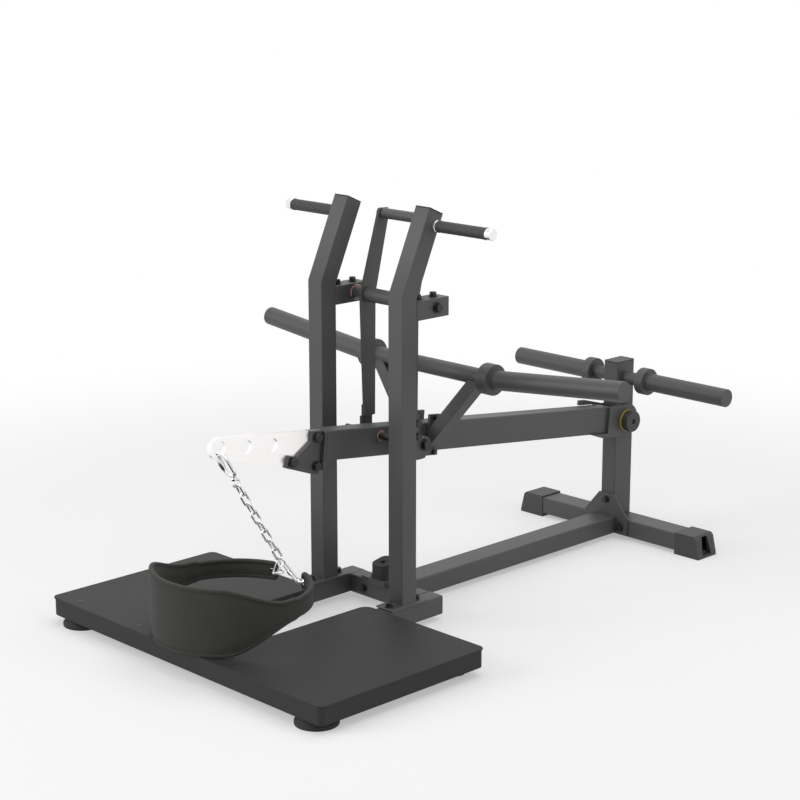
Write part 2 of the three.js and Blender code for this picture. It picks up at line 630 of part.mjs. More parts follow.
// Chrome pull plate with three holes, between two clamp plates
const headFront = beam.front - headPlate.thick - gap
const pullOutline = new THREE.Shape()
const edgeRun = [pull.lowY - pull.noseY, pull.lowZ - pull.noseZ]
const edgeTurn = Math.atan2(edgeRun[1], edgeRun[0]) - Math.asin(pull.noseRadius / Math.hypot(...edgeRun))
pullOutline.moveTo(headFront, beamTop)
pullOutline.lineTo(pull.noseY, pull.noseZ + pull.noseRadius)
pullOutline.absarc(pull.noseY, pull.noseZ, pull.noseRadius, Math.PI / 2, edgeTurn + 3 * Math.PI / 2)
pullOutline.lineTo(pull.lowY, pull.lowZ)
pullOutline.lineTo(headFront, pull.rearZ)
for (const [y, z] of pullHoles) {
  const hole = new THREE.Path()
  hole.absarc(y, z, pull.holeRadius, 0, 2 * Math.PI)
  pullOutline.holes.push(hole)
}
place(arm, 'pull_plate', alongX(pullOutline, -pull.thick / 2, pull.thick / 2, pullSteps), 'chrome')

const clampInner = pull.thick / 2 + gap
const clampOutline = outline([
  [headFront, clamp.top], [clamp.topFront, clamp.top], [clamp.topFront, clamp.neckZ],
  [clamp.waistY, clamp.waistZ], [clamp.lipY, clamp.lipZ], [clampFoot.frontY, clampFoot.frontZ],
  [clampFoot.lowY, clampFoot.lowZ], [headFront, clampFoot.rearZ]])
const clampPlate = alongX(clampOutline, clampInner, clampInner + clamp.thick)
placePair(arm, 'clamp_plate', clampPlate, 'frame')

// Catch shaft for the lock lever, through the beam
place(arm, 'catch_shaft', rodX(catchShaft.radius, -catchShaft.halfLength, catchShaft.halfLength,
  catchShaft.y, catchShaft.z), 'black')

// Yoke: flange plates on the beam, braces, a crossbar and two weight horns
const flangeInner = beamHalf + gap
const flangeOuter = flangeInner + plateThick
const braceFlangeShape = box(flangeInner, flangeOuter, braceFlange.front, braceFlange.rear,
  braceFlange.bottom, braceFlange.top)
const crossEnd = collar.inner - gap
place(arm, 'crossbar', rodX(cross.radius, -crossEnd, crossEnd, cross.y, cross.z), 'frame')
const hornRun = new THREE.Vector3(horn.end - collar.outer, horn.sweepY, horn.riseZ)
const hornLength = hornRun.length() + collar.outer - collar.inner
const hornTurn = new THREE.Quaternion()
  .setFromUnitVectors(new THREE.Vector3(0, 1, 0), hornRun.clone().normalize())
const hornBar = new THREE.CylinderGeometry(horn.radius, horn.radius, hornLength, roundSides)
  .translate(0, hornLength / 2 - collar.outer / 2 + collar.inner / 2, 0).applyQuaternion(hornTurn)
  .translate(collar.outer, cross.y, cross.z)
const hornShape = join(rodX(collar.radius, collar.inner, collar.outer, cross.y, cross.z), hornBar)
placePair(arm, 'weight_horn', hornShape, 'frame')

const braceRun = [brace.endX - brace.startX, cross.z - brace.startZ]
function braceBar(thick, width, bottomX, topZ) {
  const slope = braceRun[1] / braceRun[0]
  const reachX = thick / 2 / Math.sin(Math.atan(slope))
  const reachZ = thick / 2 / Math.cos(Math.atan(slope))
  const centreZ = brace.startZ + (bottomX - brace.startX) * slope
  const centreX = brace.startX + (topZ - brace.startZ) / slope
  return alongY(outline([[bottomX, centreZ - reachZ], [centreX + reachX, topZ], [centreX - reachX, topZ],
    [bottomX, centreZ + reachZ]]), cross.y - width / 2, cross.y + width / 2)
}
const braceTop = cross.z - cross.radius * cross.braceShare
const braceShape = cut(braceBar(brace.thick, brace.width, flangeOuter - overrun, braceTop),
  braceBar(brace.thick - 2 * wall, brace.width - 2 * wall, flangeOuter, braceTop + overrun),
  rodX(cross.radius + gap, 0, collar.outer + overrun, cross.y, cross.z),
  rodX(collar.radius + gap, collar.inner - gap, collar.outer + tubeWidth, cross.y, cross.z))
placePair(arm, 'brace', join(braceShape, braceFlangeShape), 'frame')

// Snap hook through the first hole of the pull plate, pulled towards the apex of the belt
function armToFrame([y, z]) {
  const [sine, cosine] = [Math.sin(degrees(armSlope)), Math.cos(degrees(armSlope))]
  return [armPivot.y + y * cosine + z * sine, armPivot.z - y * sine + z * cosine]
}
const [holeY, holeZ] = armToFrame(pullHoles[0])
const hookZ = holeZ - pull.holeRadius + wire.hook + hook.rim
const chainTurn = Math.atan2(hookZ - apex.z, holeY - apex.y)
const chainFrame = new THREE.Group()
chainFrame.position.set(0, holeY, hookZ)
chainFrame.rotation.x = chainTurn
root.add(chainFrame)

const hookLoop = wireLoop(hook.halfWidth, hook.length, wire.hook, hookSteps, hookSides)
const gateGap = box(hook.halfWidth - 2 * wire.hook, hook.halfWidth + 2 * wire.hook,
  -hook.gateEnd, -hook.gateStart, -2 * wire.hook, 2 * wire.hook)
place(chainFrame, 'snap_hook_body', cut(hookLoop, gateGap), 'chrome')
place(chainFrame, 'snap_hook_gate', rodY(hook.gateRadius, -hook.gateEnd + gap, -hook.gateStart - gap,
  hook.halfWidth, 0, smallSides), 'chrome')

const swivelStart = hook.length + wire.hook + gap
const eyeMiddle = swivelStart + swivel.length + swivel.eyeRadius + wire.link / 2
const eye = new THREE.TorusGeometry(swivel.eyeRadius, wire.link, wireSides, ringSides)
  .rotateY(Math.PI / 2)
  .translate(0, -eyeMiddle, 0)
place(chainFrame, 'snap_hook_swivel', join(rodY(swivel.radius, -swivelStart - swivel.length, -swivelStart, 0, 0,
  smallSides), eye), 'chrome')

// Chain of welded links, every other one turned a quarter
const wireStep = 2 * wire.link - weld
const firstLink = eyeMiddle + swivel.eyeRadius - 2 * wire.link - gap
const links = Array.from({ length: link.count }, (_, i) => {
  const loop = wireLoop(link.halfWidth, link.pitch + wireStep, wire.link)
  return (i % 2 ? loop.rotateY(Math.PI / 2) : loop).translate(0, -firstLink - i * link.pitch, 0)
})
const lastEnd = firstLink + link.count * link.pitch + wireStep
const ringMiddle = lastEnd - wire.link - joinRing.wire - gap + joinRing.radius
const apexRing = new THREE.TorusGeometry(joinRing.radius, joinRing.wire, wireSides, ringSides)
  .translate(0, -ringMiddle, 0)

// Two small end hooks run from the apex ring to the rings of the belt
const beltMiddle = belt.radius - belt.rim
const endTurn = Math.PI - degrees(belt.openHalf)
const ringZ = (beltTop.low + beltBottom.high) / 2
const beltEnd = new THREE.Vector3(beltMiddle * Math.sin(endTurn), belt.y - beltMiddle * Math.cos(endTurn), ringZ)
const inward = new THREE.Vector3(-Math.sin(endTurn), Math.cos(endTurn), 0)
const beltHold = beltEnd.clone().addScaledVector(inward, beltRing.radius)
chainFrame.updateMatrix()
const toChain = chainFrame.matrix.clone().invert()
const hold = beltHold.applyMatrix4(toChain)
const ringCentre = new THREE.Vector3(0, -ringMiddle, 0)
const outwards = hold.clone().sub(ringCentre).setZ(0).normalize()
const endInset = joinRing.radius - joinRing.wire - endHook.wire + weld
const endStart = ringCentre.clone().addScaledVector(outwards, endInset)
const endRun = hold.clone().sub(endStart)
const endLength = endRun.length() + beltRing.wire + endHook.wire - weld
const endUp = endRun.normalize().clone().negate()
const endAcross = new THREE.Vector3(0, 0, 1).addScaledVector(endUp, -endUp.z).normalize()
const endBasis = new THREE.Matrix4()
  .makeBasis(endAcross, endUp, endAcross.clone().cross(endUp))
  .setPosition(endStart)
const endLoop = wireLoop(endHook.halfWidth, endLength, endHook.wire).applyMatrix4(endBasis)
place(chainFrame, 'chain', join(...links), 'chrome')

// Belt: an open padded ring, high at the back of the wearer and low at its two ends
function eased(value, edge) {
  return THREE.MathUtils.smoothstep(value, edge.from, edge.to)
}
function beltGeometry() {
  const positions = []
  for (let i = 0; i <= beltSteps; i++) {
    const turn = endTurn * (2 * i / beltSteps - 1)
    const away = THREE.MathUtils.radToDeg(Math.abs(turn))
    const top = THREE.MathUtils.lerp(beltTop.high, beltTop.low, eased(away, beltTop))
    const low = THREE.MathUtils.lerp(beltBottom.low, beltBottom.high, eased(away, beltBottom))
    const section = []
    for (let k = 0; k <= rimSteps; k++) {
      const rimTurn = Math.PI * (1 + k / rimSteps)
      section.push([belt.rim * Math.cos(rimTurn), low + belt.rim + belt.rim * Math.sin(rimTurn)])
    }
    section.push([belt.thick / 2, low + belt.waist], [belt.thick / 2, top - belt.waist])
    for (let k = 0; k <= rimSteps; k++) {
      const rimTurn = Math.PI * k / rimSteps
      section.push([belt.rim * Math.cos(rimTurn), top - belt.rim + belt.rim * Math.sin(rimTurn)])
    }
    section.push([-belt.thick / 2, top - belt.waist], [-belt.thick / 2, low + belt.waist])
    for (const [out, z] of section) {
      const radius = beltMiddle + out
      positions.push(belt.x + radius * Math.sin(turn), belt.y - radius * Math.cos(turn), z)
    }
  }
  const rings = beltSteps + 1
  return closedSurface(positions, rings, positions.length / rings / 3, false)
}
const grommetTurn = endTurn - beltRing.radius / beltMiddle
const grommet = rodY(beltRing.holeRadius, -2 * belt.rim, 2 * belt.rim, 0, 0, smallSides).rotateZ(grommetTurn)
  .translate(beltMiddle * Math.sin(grommetTurn), belt.y - beltMiddle * Math.cos(grommetTurn), ringZ)
place(root, 'belt', cut(beltGeometry(), grommet, mirrored(grommet)), 'cloth')
const beltRingShape = new THREE.TorusGeometry(beltRing.radius, beltRing.wire, wireSides, ringSides)
  .translate(beltEnd.x, beltEnd.y, beltEnd.z)
const inRoot = (geometry) => geometry.clone().applyMatrix4(chainFrame.matrix)
place(root, 'belt_bridle', join(inRoot(apexRing), bothSides(inRoot(endLoop), beltRingShape)), 'chrome')

export default machine
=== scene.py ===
# %% [markdown]
# A belt squat machine, rebuilt as it stands in the photograph. Its places and main sizes
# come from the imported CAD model, which is loaded first and never moved. This lesson
# dresses it: soft edges on the steel, bolts and rings that the CAD leaves out, a chain and
# a snap hook with their real detail, a padded belt, and a finish for every surface.

# %% Load the CAD model
import json
import math

import bmesh
import bpy
from mathutils import Matrix, Vector


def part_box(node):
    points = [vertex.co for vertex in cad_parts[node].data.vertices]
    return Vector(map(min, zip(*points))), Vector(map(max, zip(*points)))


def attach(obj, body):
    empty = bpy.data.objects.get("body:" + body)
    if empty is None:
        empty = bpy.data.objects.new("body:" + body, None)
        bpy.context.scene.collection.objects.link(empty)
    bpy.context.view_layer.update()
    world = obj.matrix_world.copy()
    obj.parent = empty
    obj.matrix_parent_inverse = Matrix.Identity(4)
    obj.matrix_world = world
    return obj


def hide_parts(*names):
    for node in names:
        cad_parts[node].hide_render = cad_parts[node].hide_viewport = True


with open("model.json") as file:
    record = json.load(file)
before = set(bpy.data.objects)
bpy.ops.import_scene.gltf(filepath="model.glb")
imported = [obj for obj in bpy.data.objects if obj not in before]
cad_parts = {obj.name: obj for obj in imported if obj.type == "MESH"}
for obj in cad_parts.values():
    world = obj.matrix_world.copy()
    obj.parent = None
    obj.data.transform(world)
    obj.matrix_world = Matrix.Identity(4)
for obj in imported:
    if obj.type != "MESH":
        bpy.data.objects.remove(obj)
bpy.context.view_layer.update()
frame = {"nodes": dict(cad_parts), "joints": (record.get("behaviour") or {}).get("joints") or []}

# %% [markdown]
# The camera comes first, because every later judgement is made through it. Its place was
# solved from the machine's right angles in the photograph. A long lens of 89 mm gives the
# flat perspective of a catalogue picture.

# %% Camera
bpy.ops.object.select_all(action="DESELECT")
bpy.ops.object.camera_add(location=(3.540, -3.53485, 1.7579),
                          rotation=(math.radians(90 - 13.770), 0, math.radians(45.773)))
camera = bpy.context.object
camera.name = "camera"
camera.data.lens = 89.305
camera.data.sensor_width = 36
bpy.context.scene.camera = camera
print("camera at", tuple(round(value, 3) for value in camera.location))

# %% [markdown]
# The photograph has a white floor that runs into a white background, with soft shadows.
# A real studio uses a paper sweep. Here the floor is one large plane. Where the camera or
# a reflection sees it, it glows, a little near the machine and fully far away, so that it
# reads white without extra light on the steel.

# %% Floor and background
def new_material(name):
    material = bpy.data.materials.new(name)
    material.use_nodes = True
    material.node_tree.nodes.clear()
    return material, material.node_tree.nodes, material.node_tree.links


bpy.ops.mesh.primitive_plane_add(size=200, location=(0, 0, 0))
floor = bpy.context.object
floor.name = "studio_floor"
paper, nodes, links = new_material("studio_paper")
shadowed = nodes.new("ShaderNodeBsdfDiffuse")
shadowed.inputs["Color"].default_value = (0.66, 0.66, 0.66, 1)
glow = nodes.new("ShaderNodeEmission")
glow.inputs["Strength"].default_value = 0.39
white = nodes.new("ShaderNodeEmission")
white.inputs["Strength"].default_value = 1.0
rays = nodes.new("ShaderNodeLightPath")
shiny = nodes.new("ShaderNodeMath")
shiny.operation = "MAXIMUM"
place = nodes.new("ShaderNodeTexCoord")
far = nodes.new("ShaderNodeVectorMath")
far.operation = "LENGTH"
fade = nodes.new("ShaderNodeMapRange")
fade.interpolation_type = "SMOOTHSTEP"
fade.inputs["From Min"].default_value = 1.2
fade.inputs["From Max"].default_value = 3.0
lit = nodes.new("ShaderNodeAddShader")
blend = nodes.new("ShaderNodeMixShader")
plain = nodes.new("ShaderNodeMixShader")
result = nodes.new("ShaderNodeOutputMaterial")
links.new(rays.outputs["Is Camera Ray"], shiny.inputs[0])
links.new(rays.outputs["Is Glossy Ray"], shiny.inputs[1])
links.new(place.outputs["Object"], far.inputs[0])
links.new(far.outputs["Value"], fade.inputs["Value"])
links.new(shadowed.outputs[0], lit.inputs[0])
links.new(glow.outputs[0], lit.inputs[1])
links.new(fade.outputs[0], blend.inputs["Fac"])
links.new(lit.outputs[0], blend.inputs[1])
links.new(white.outputs[0], blend.inputs[2])
links.new(shiny.outputs[0], plain.inputs["Fac"])
links.new(shadowed.outputs[0], plain.inputs[1])
links.new(blend.outputs[0], plain.inputs[2])
links.new(plain.outputs[0], result.inputs["Surface"])
floor.data.materials.append(paper)
print("floor of", round(floor.dimensions.x), "metres")

# %% [markdown]
# The world is white all round. The camera, a reflection and a clear material see it at full
# strength, but as a light it only gives a third of that, so the shadows stay soft. Three
# large square lamps do the rest: one above, one in front and a weaker one from the side.

# %% World and lamps
world = bpy.data.worlds.new("studio")
bpy.context.scene.world = world
world.use_nodes = True
nodes, links = world.node_tree.nodes, world.node_tree.links
nodes.clear()
rays = nodes.new("ShaderNodeLightPath")
shiny = nodes.new("ShaderNodeMath")
shiny.operation = "MAXIMUM"
clear = nodes.new("ShaderNodeMath")
clear.operation = "MAXIMUM"
strength = nodes.new("ShaderNodeMapRange")
strength.inputs["To Min"].default_value = 0.336
strength.inputs["To Max"].default_value = 1.0
sky = nodes.new("ShaderNodeBackground")
sky.inputs["Color"].default_value = (1.0, 1.0, 1.0, 1.0)
result = nodes.new("ShaderNodeOutputWorld")
links.new(rays.outputs["Is Camera Ray"], shiny.inputs[0])
links.new(rays.outputs["Is Glossy Ray"], shiny.inputs[1])
links.new(shiny.outputs[0], clear.inputs[0])
links.new(rays.outputs["Is Transmission Ray"], clear.inputs[1])
links.new(clear.outputs[0], strength.inputs["Value"])
links.new(strength.outputs[0], sky.inputs["Strength"])
links.new(sky.outputs[0], result.inputs["Surface"])


def softbox(name, place, target, size, watts):
    bpy.ops.object.select_all(action="DESELECT")
    away = Vector(place) - Vector(target)
    bpy.ops.object.light_add(type="AREA", location=place,
                             rotation=away.to_track_quat("Z", "Y").to_euler())
    lamp = bpy.context.object
    lamp.name = name
    lamp.data.shape = "SQUARE"
    lamp.data.size = size
    lamp.data.energy = watts
    print(name, "gives", watts, "watts")


softbox("lamp_above", (0.3, 0.2, 4.2), (0, 0, 0), 4.0, 70)
softbox("lamp_front", (-2.4, -5.2, 2.6), (0, 0, 0.4), 3.0, 120)
softbox("lamp_side", (5.2, 1.6, 2.6), (0, 0, 0.4), 3.0, 45)
bpy.context.scene.view_settings.view_transform = "Standard"

# %% [markdown]
# Every finish below is built from the same few nodes. A large noise shifts the colour and
# the roughness a little from place to place, and a fine noise gives the skin of the
# surface through Bump. Object coordinates keep a pattern fixed to the metal, in metres.

# %% A finish of two tones with a fine skin
def finish(name, dark, light, rough, metal=0.0, patch=5.0, grain=900.0, bump=0.1,
           depth=0.0002, sockets=()):
    material, nodes, links = new_material(name)
    place = nodes.new("ShaderNodeTexCoord")
    cloud = nodes.new("ShaderNodeTexNoise")
    cloud.inputs["Scale"].default_value = patch
    cloud.inputs["Detail"].default_value = 6
    skin = nodes.new("ShaderNodeTexNoise")
    skin.inputs["Scale"].default_value = grain
    skin.inputs["Detail"].default_value = 3
    tones = nodes.new("ShaderNodeMix")
    tones.data_type = "RGBA"
    tones.inputs["A"].default_value = (*dark, 1)
    tones.inputs["B"].default_value = (*light, 1)
    dull = nodes.new("ShaderNodeMapRange")
    dull.inputs["To Min"].default_value = rough[0]
    dull.inputs["To Max"].default_value = rough[1]
    dents = nodes.new("ShaderNodeBump")
    dents.inputs["Strength"].default_value = bump
    dents.inputs["Distance"].default_value = depth
    shader = nodes.new("ShaderNodeBsdfPrincipled")
    shader.inputs["Metallic"].default_value = metal
    for socket, value in sockets:
        shader.inputs[socket].default_value = value
    result = nodes.new("ShaderNodeOutputMaterial")
    for texture in (cloud, skin):
        links.new(place.outputs["Object"], texture.inputs["Vector"])
    links.new(cloud.outputs["Fac"], tones.inputs["Factor"])
    links.new(cloud.outputs["Fac"], dull.inputs["Value"])
    links.new(skin.outputs["Fac"], dents.inputs["Height"])
    links.new(tones.outputs["Result"], shader.inputs["Base Color"])
    links.new(dull.outputs[0], shader.inputs["Roughness"])
    links.new(dents.outputs["Normal"], shader.inputs["Normal"])
    links.new(shader.outputs[0], result.inputs["Surface"])
    print("finish", name)
    return material


powder_coat = finish("charcoal_powder_coat", (0.068, 0.068, 0.068), (0.086, 0.086, 0.085), (0.42, 0.52),
                     bump=0.18, grain=700.0, depth=0.00012, sockets=(("Specular IOR Level", 0.5),))
# The platform's coat is the charcoal coat made darker and duller. The darker colour is painted shade for the
# deck top's darker reflection.
deck_coat_painted_shade = finish("platform_coat_painted_shade", (0.034, 0.034, 0.034), (0.044, 0.044, 0.043), (0.50, 0.60),
                   bump=0.18, grain=700.0, depth=0.00012, sockets=(("Specular IOR Level", 0.2),))
bright_plate = finish("bright_zinc_plate", (0.990, 0.955, 0.955), (1.000, 0.975, 0.972), (0.22, 0.30),
                      metal=1.0, patch=9.0, grain=420.0, bump=0.03)
rubber = finish("black_rubber", (0.020, 0.020, 0.020), (0.030, 0.030, 0.030), (0.72, 0.86),
                bump=0.3, grain=1400.0)
grip_rubber = finish("grip_rubber", (0.034, 0.034, 0.034), (0.045, 0.045, 0.045), (0.55, 0.68),
                     bump=0.3, grain=1100.0)
moulded_plastic = finish("moulded_black_plastic", (0.042, 0.042, 0.042), (0.056, 0.056, 0.056),
                         (0.46, 0.58), bump=0.22, grain=1600.0)
chrome = finish("polished_chrome", (0.80, 0.80, 0.81), (0.90, 0.90, 0.90), (0.06, 0.14),
                metal=1.0, patch=14.0, grain=260.0, bump=0.03)
black_steel = finish("blackened_steel", (0.022, 0.022, 0.023), (0.040, 0.040, 0.040), (0.32, 0.46),
                     metal=0.35, patch=30.0, bump=0.12)
bronze = finish("bearing_bronze", (0.55, 0.31, 0.25), (0.68, 0.42, 0.34), (0.25, 0.38),
                metal=0.9, patch=60.0, grain=500.0)
nylon = finish("yellow_nylon", (0.62, 0.44, 0.03), (0.74, 0.55, 0.05), (0.42, 0.55),
               patch=50.0, bump=0.15)

# %% [markdown]
# The steel tubes, plates and bars already have the right shape, but their edges are as
# sharp as paper, and real bent and welded steel never is. Each node gets a copy, and the
# node itself is hidden. A CAD mesh may not be changed, so each node gets a copy. The
# copy's loose triangles are merged, its flat faces are made whole again, and a narrow
# bevel catches the light along every edge. Weighted normals keep the flat sides flat
# beside their rounded corners.

# %% Soft edges for a CAD node
def only(*things):
    bpy.ops.object.select_all(action="DESELECT")
    for thing in things:
        thing.select_set(True)
    bpy.context.view_layer.objects.active = things[0]


def linked(name, mesh):
    piece = bpy.data.objects.new(name, mesh)
    bpy.context.scene.collection.objects.link(piece)
    return piece


def frozen(piece):
    only(piece)
    bpy.ops.object.transform_apply(location=True, rotation=True, scale=True)


def modified(piece, kind, **settings):
    only(piece)
    step = piece.modifiers.new(kind.lower(), kind)
    for setting, value in settings.items():
        setattr(step, setting, value)
    bpy.ops.object.modifier_apply(modifier=step.name)


def smooth(piece, degrees=40):
    only(piece)
    bpy.ops.object.shade_smooth_by_angle(angle=math.radians(degrees))
    modified(piece, "WEIGHTED_NORMAL", keep_sharp=True, weight=80)


def settle(piece, name, body, material):
    frozen(piece)
    piece.name = name
    piece.data.name = name
    piece.data.materials.clear()
    piece.data.materials.append(material)
    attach(piece, body)
    return piece


def merged_copy(node):
    piece = linked(node + "_copy", frame["nodes"][node].data.copy())
    only(piece)
    bpy.ops.object.mode_set(mode="EDIT")
    bpy.ops.mesh.select_all(action="SELECT")
    bpy.ops.mesh.remove_doubles(threshold=0.00002)
    bpy.ops.mesh.dissolve_limited(angle_limit=math.radians(0.5))
    bpy.ops.object.mode_set(mode="OBJECT")
    return piece


def soften(node, body, material, width=0.0012, segments=2, limit=32):
    piece = merged_copy(node)
    modified(piece, "BEVEL", width=width, segments=segments, limit_method="ANGLE",
             angle_limit=math.radians(limit), use_clamp_overlap=True)
    smooth(piece)
    settle(piece, node + "_dressed", body, material)
    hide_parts(node)
    return piece


# %% [markdown]
# Now the copies are made, body by body. Most pieces of the base come in a left and a right
# one, so a small helper spells out both names. The uprights get the widest edge, and the
# platform's plate gets a duller copy of the coat. Its darker colour is painted shade for
# the darker reflection on the deck's top.

# %% Dress the steel of the base
def both(*names):
    return [name + side for name in names for side in ("_left", "_right")]


base_steel = ["cross_tube", "main_tube", "rear_flange_plate", "rear_foot_bar", "rear_post",
              "bumper_bracket", *both("rail", "pivot_block", "storage_horn")]
for node in base_steel:
    soften(node, "base", powder_coat)
for node in both("upright"):
    soften(node, "base", powder_coat, width=0.003, segments=3)
# The deck's darker coat is painted shade.
soften("platform_deck", "base", deck_coat_painted_shade, width=0.0015, segments=3)
soften("platform_ribs", "base", powder_coat)
print(len(base_steel) + 4, "steel pieces of the base dressed")

# %% [markdown]
# The arm and the lever wear the same coat as the base. Three pieces don't: the pull plate
# is plated bright, and the arm's axle and the catch shaft are blackened.

# %% Dress the steel of the arm and the lever
arm_steel = ["arm_beam", "beam_head_plate", "crossbar",
             *both("brace", "cheek", "clamp_plate", "weight_horn")]
for node in arm_steel:
    soften(node, "arm", powder_coat)
for node in ("lock_lever", *both("hook_plate")):
    soften(node, "lock_lever", powder_coat)
soften("pull_plate", "arm", bright_plate, width=0.0008)
soften("arm_axle", "arm", black_steel)
soften("catch_shaft", "arm", black_steel, width=0.001)
print(len(arm_steel) + 6, "steel pieces of the arm and the lever dressed")

# %% [markdown]
# Moulded pieces have rounder edges than cut steel, so the feet, the bumper, the buffers and
# the large caps get a wide bevel. Thin caps and bearing rings only get a fine one.

# %% Dress the rubber and the plastic
for node in both("platform_foot_front", "platform_foot_rear"):
    soften(node, "base", rubber, width=0.0015, segments=3)
soften("bumper_block", "base", rubber, width=0.003, segments=3)
for node in both("hook_buffer"):
    soften(node, "lock_lever", rubber, width=0.0015, segments=3)
for node in both("rear_cap"):
    soften(node, "base", moulded_plastic, width=0.004, segments=3)
for node in ("post_cap", *both("upright_cap")):
    soften(node, "base", moulded_plastic, width=0.0008)
for node in both("axle_cap"):
    soften(node, "arm", moulded_plastic, width=0.0015, segments=3)
for node in both("bearing_ring"):
    soften(node, "arm", nylon, width=0.0006)
print("rubber, plastic and nylon dressed")

# %% [markdown]
# Grips, nuts and rings are turned parts. On the real machine they come off a lathe, so
# here too a profile is drawn once, from the axis outwards, and spun round. The doubles at
# the seam are merged before the normals are made to point out.

# %% A turned piece
def turned(profile, steps=48):
    mesh = bpy.data.meshes.new("profile")
    points = [(radius, 0, height) for radius, height in profile]
    mesh.from_pydata(points, [(i, i + 1) for i in range(len(points) - 1)], [])
    piece = linked("turned", mesh)
    only(piece)
    bpy.ops.object.mode_set(mode="EDIT")
    bpy.ops.mesh.select_all(action="SELECT")
    bpy.ops.mesh.spin(steps=steps, angle=math.tau, center=(0, 0, 0), axis=(0, 0, 1))
    bpy.ops.mesh.select_all(action="SELECT")
    bpy.ops.mesh.remove_doubles(threshold=0.00001)
    bpy.ops.mesh.normals_make_consistent(inside=False)
    bpy.ops.object.mode_set(mode="OBJECT")
    smooth(piece)
    return piece


def stand(piece, at, facing):
    turn = Vector(facing).normalized().to_track_quat("Z", "Y")
    piece.matrix_world = Matrix.Translation(Vector(at)) @ turn.to_matrix().to_4x4()


# %% [markdown]
# A handle is a chrome bar with a ring where it meets the upright, a rubber grip, and a
# chrome plug at its end. The chrome is one turned piece, and the grip is another with a
# slightly swollen rim at both ends, as a pushed-on sleeve has.

# %% Handles
SIDES = ((-1, "left"), (1, "right"))
CORE = 0.0112
for sign, side in SIDES:
    low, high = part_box("handle_" + side)
    grip_low, grip_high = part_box("handle_grip_" + side)
    middle = (low + high) / 2
    radius = (high.z - low.z) / 2
    start = min(abs(low.x), abs(high.x))
    end = max(abs(low.x), abs(high.x))
    grip_start = min(abs(grip_low.x), abs(grip_high.x)) - start
    grip_end = max(abs(grip_low.x), abs(grip_high.x)) - start
    length = end - start
    bar = turned([(0, 0), (radius - 0.001, 0), (radius, 0.001), (radius, grip_start - 0.002),
                  (radius - 0.001, grip_start - 0.001), (CORE, grip_start - 0.0008),
                  (CORE, grip_end + 0.0008), (radius - 0.001, grip_end + 0.001),
                  (radius, grip_end + 0.002), (radius, length - 0.0022),
                  (radius - 0.0006, length - 0.0008), (radius - 0.002, length), (0.010, length),
                  (0.009, length - 0.0006), (0, length - 0.0006)])
    stand(bar, (sign * start, middle.y, middle.z), (sign, 0, 0))
    settle(bar, "handle_bar_" + side, "base", chrome)
    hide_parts("handle_" + side)
    sleeve = turned([(CORE + 0.0001, grip_start), (radius - 0.0002, grip_start),
                     (radius + 0.0003, grip_start + 0.001), (radius + 0.0003, grip_start + 0.005),
                     (radius - 0.0005, grip_start + 0.007), (radius - 0.0005, grip_end - 0.007),
                     (radius + 0.0003, grip_end - 0.005),
                     (radius + 0.0003, grip_end - 0.001), (radius - 0.0002, grip_end),
                     (CORE + 0.0001, grip_end), (CORE + 0.0001, grip_start)])
    stand(sleeve, (sign * start, middle.y, middle.z), (sign, 0, 0))
    settle(sleeve, "handle_sleeve_" + side, "base", grip_rubber)
    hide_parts("handle_grip_" + side)
    print(side, "handle", round(length * 1000), "mm long")

# %% [markdown]
# The frame is bolted together with black hexagon bolts on plain washers. One bolt is
# modelled from a six-sided cylinder: its top face is inset and sunk, and a bevel takes
# the corners off. Each place then gets a copy with a mesh of its own.

# %% One bolt
def pick_faces(piece, test):
    bpy.ops.mesh.select_mode(type="FACE")
    bpy.ops.mesh.select_all(action="DESELECT")
    shape = bmesh.from_edit_mesh(piece.data)
    for face in shape.faces:
        face.select_set(test(face))
    bmesh.update_edit_mesh(piece.data)


def hexagon_bolt(head_radius, head, washer_radius, washer):
    only(camera)
    bpy.ops.mesh.primitive_cylinder_add(vertices=36, radius=washer_radius, depth=washer,
                                        location=(0, 0, washer / 2))
    plate = bpy.context.object
    modified(plate, "BEVEL", width=washer / 5, segments=2, limit_method="ANGLE")
    only(plate)
    bpy.ops.mesh.primitive_cylinder_add(vertices=6, radius=head_radius, depth=head,
                                        location=(0, 0, washer + head / 2))
    nut = bpy.context.object
    only(nut)
    bpy.ops.object.transform_apply(location=True, rotation=False, scale=False)
    bpy.ops.object.mode_set(mode="EDIT")
    pick_faces(nut, lambda face: face.normal.z > 0.9)
    bpy.ops.mesh.inset(thickness=head_radius * 0.14)
    bpy.ops.transform.translate(value=(0, 0, head * 0.06))
    bpy.ops.mesh.inset(thickness=head_radius * 0.2)
    bpy.ops.transform.translate(value=(0, 0, -head * 0.06))
    bpy.ops.object.mode_set(mode="OBJECT")
    modified(nut, "BEVEL", width=head_radius * 0.05, segments=2, limit_method="ANGLE")
    only(nut, plate)
    bpy.ops.object.join()
    smooth(nut, 30)
    frozen(nut)
    return nut


plain_bolt = hexagon_bolt(0.009, 0.0094, 0.011, 0.002)
wide_bolt = hexagon_bolt(0.014, 0.0094, 0.016, 0.003)
clamp_bolt = hexagon_bolt(0.0115, 0.0094, 0.014, 0.002)
small_bolt = hexagon_bolt(0.0065, 0.006, 0.008, 0.0015)
print("bolt of", len(plain_bolt.data.polygons), "faces")


def fit_bolt(master, name, body, at, facing):
    piece = linked(master.name, master.data.copy())
    stand(piece, [value / 1000 for value in at], facing)
    settle(piece, name, body, black_steel)


# %% [markdown]
# The places are in millimetres. The faces of the CAD that the bolts stand on are named
# once, and the last value of a line says which way the bolt's head points.

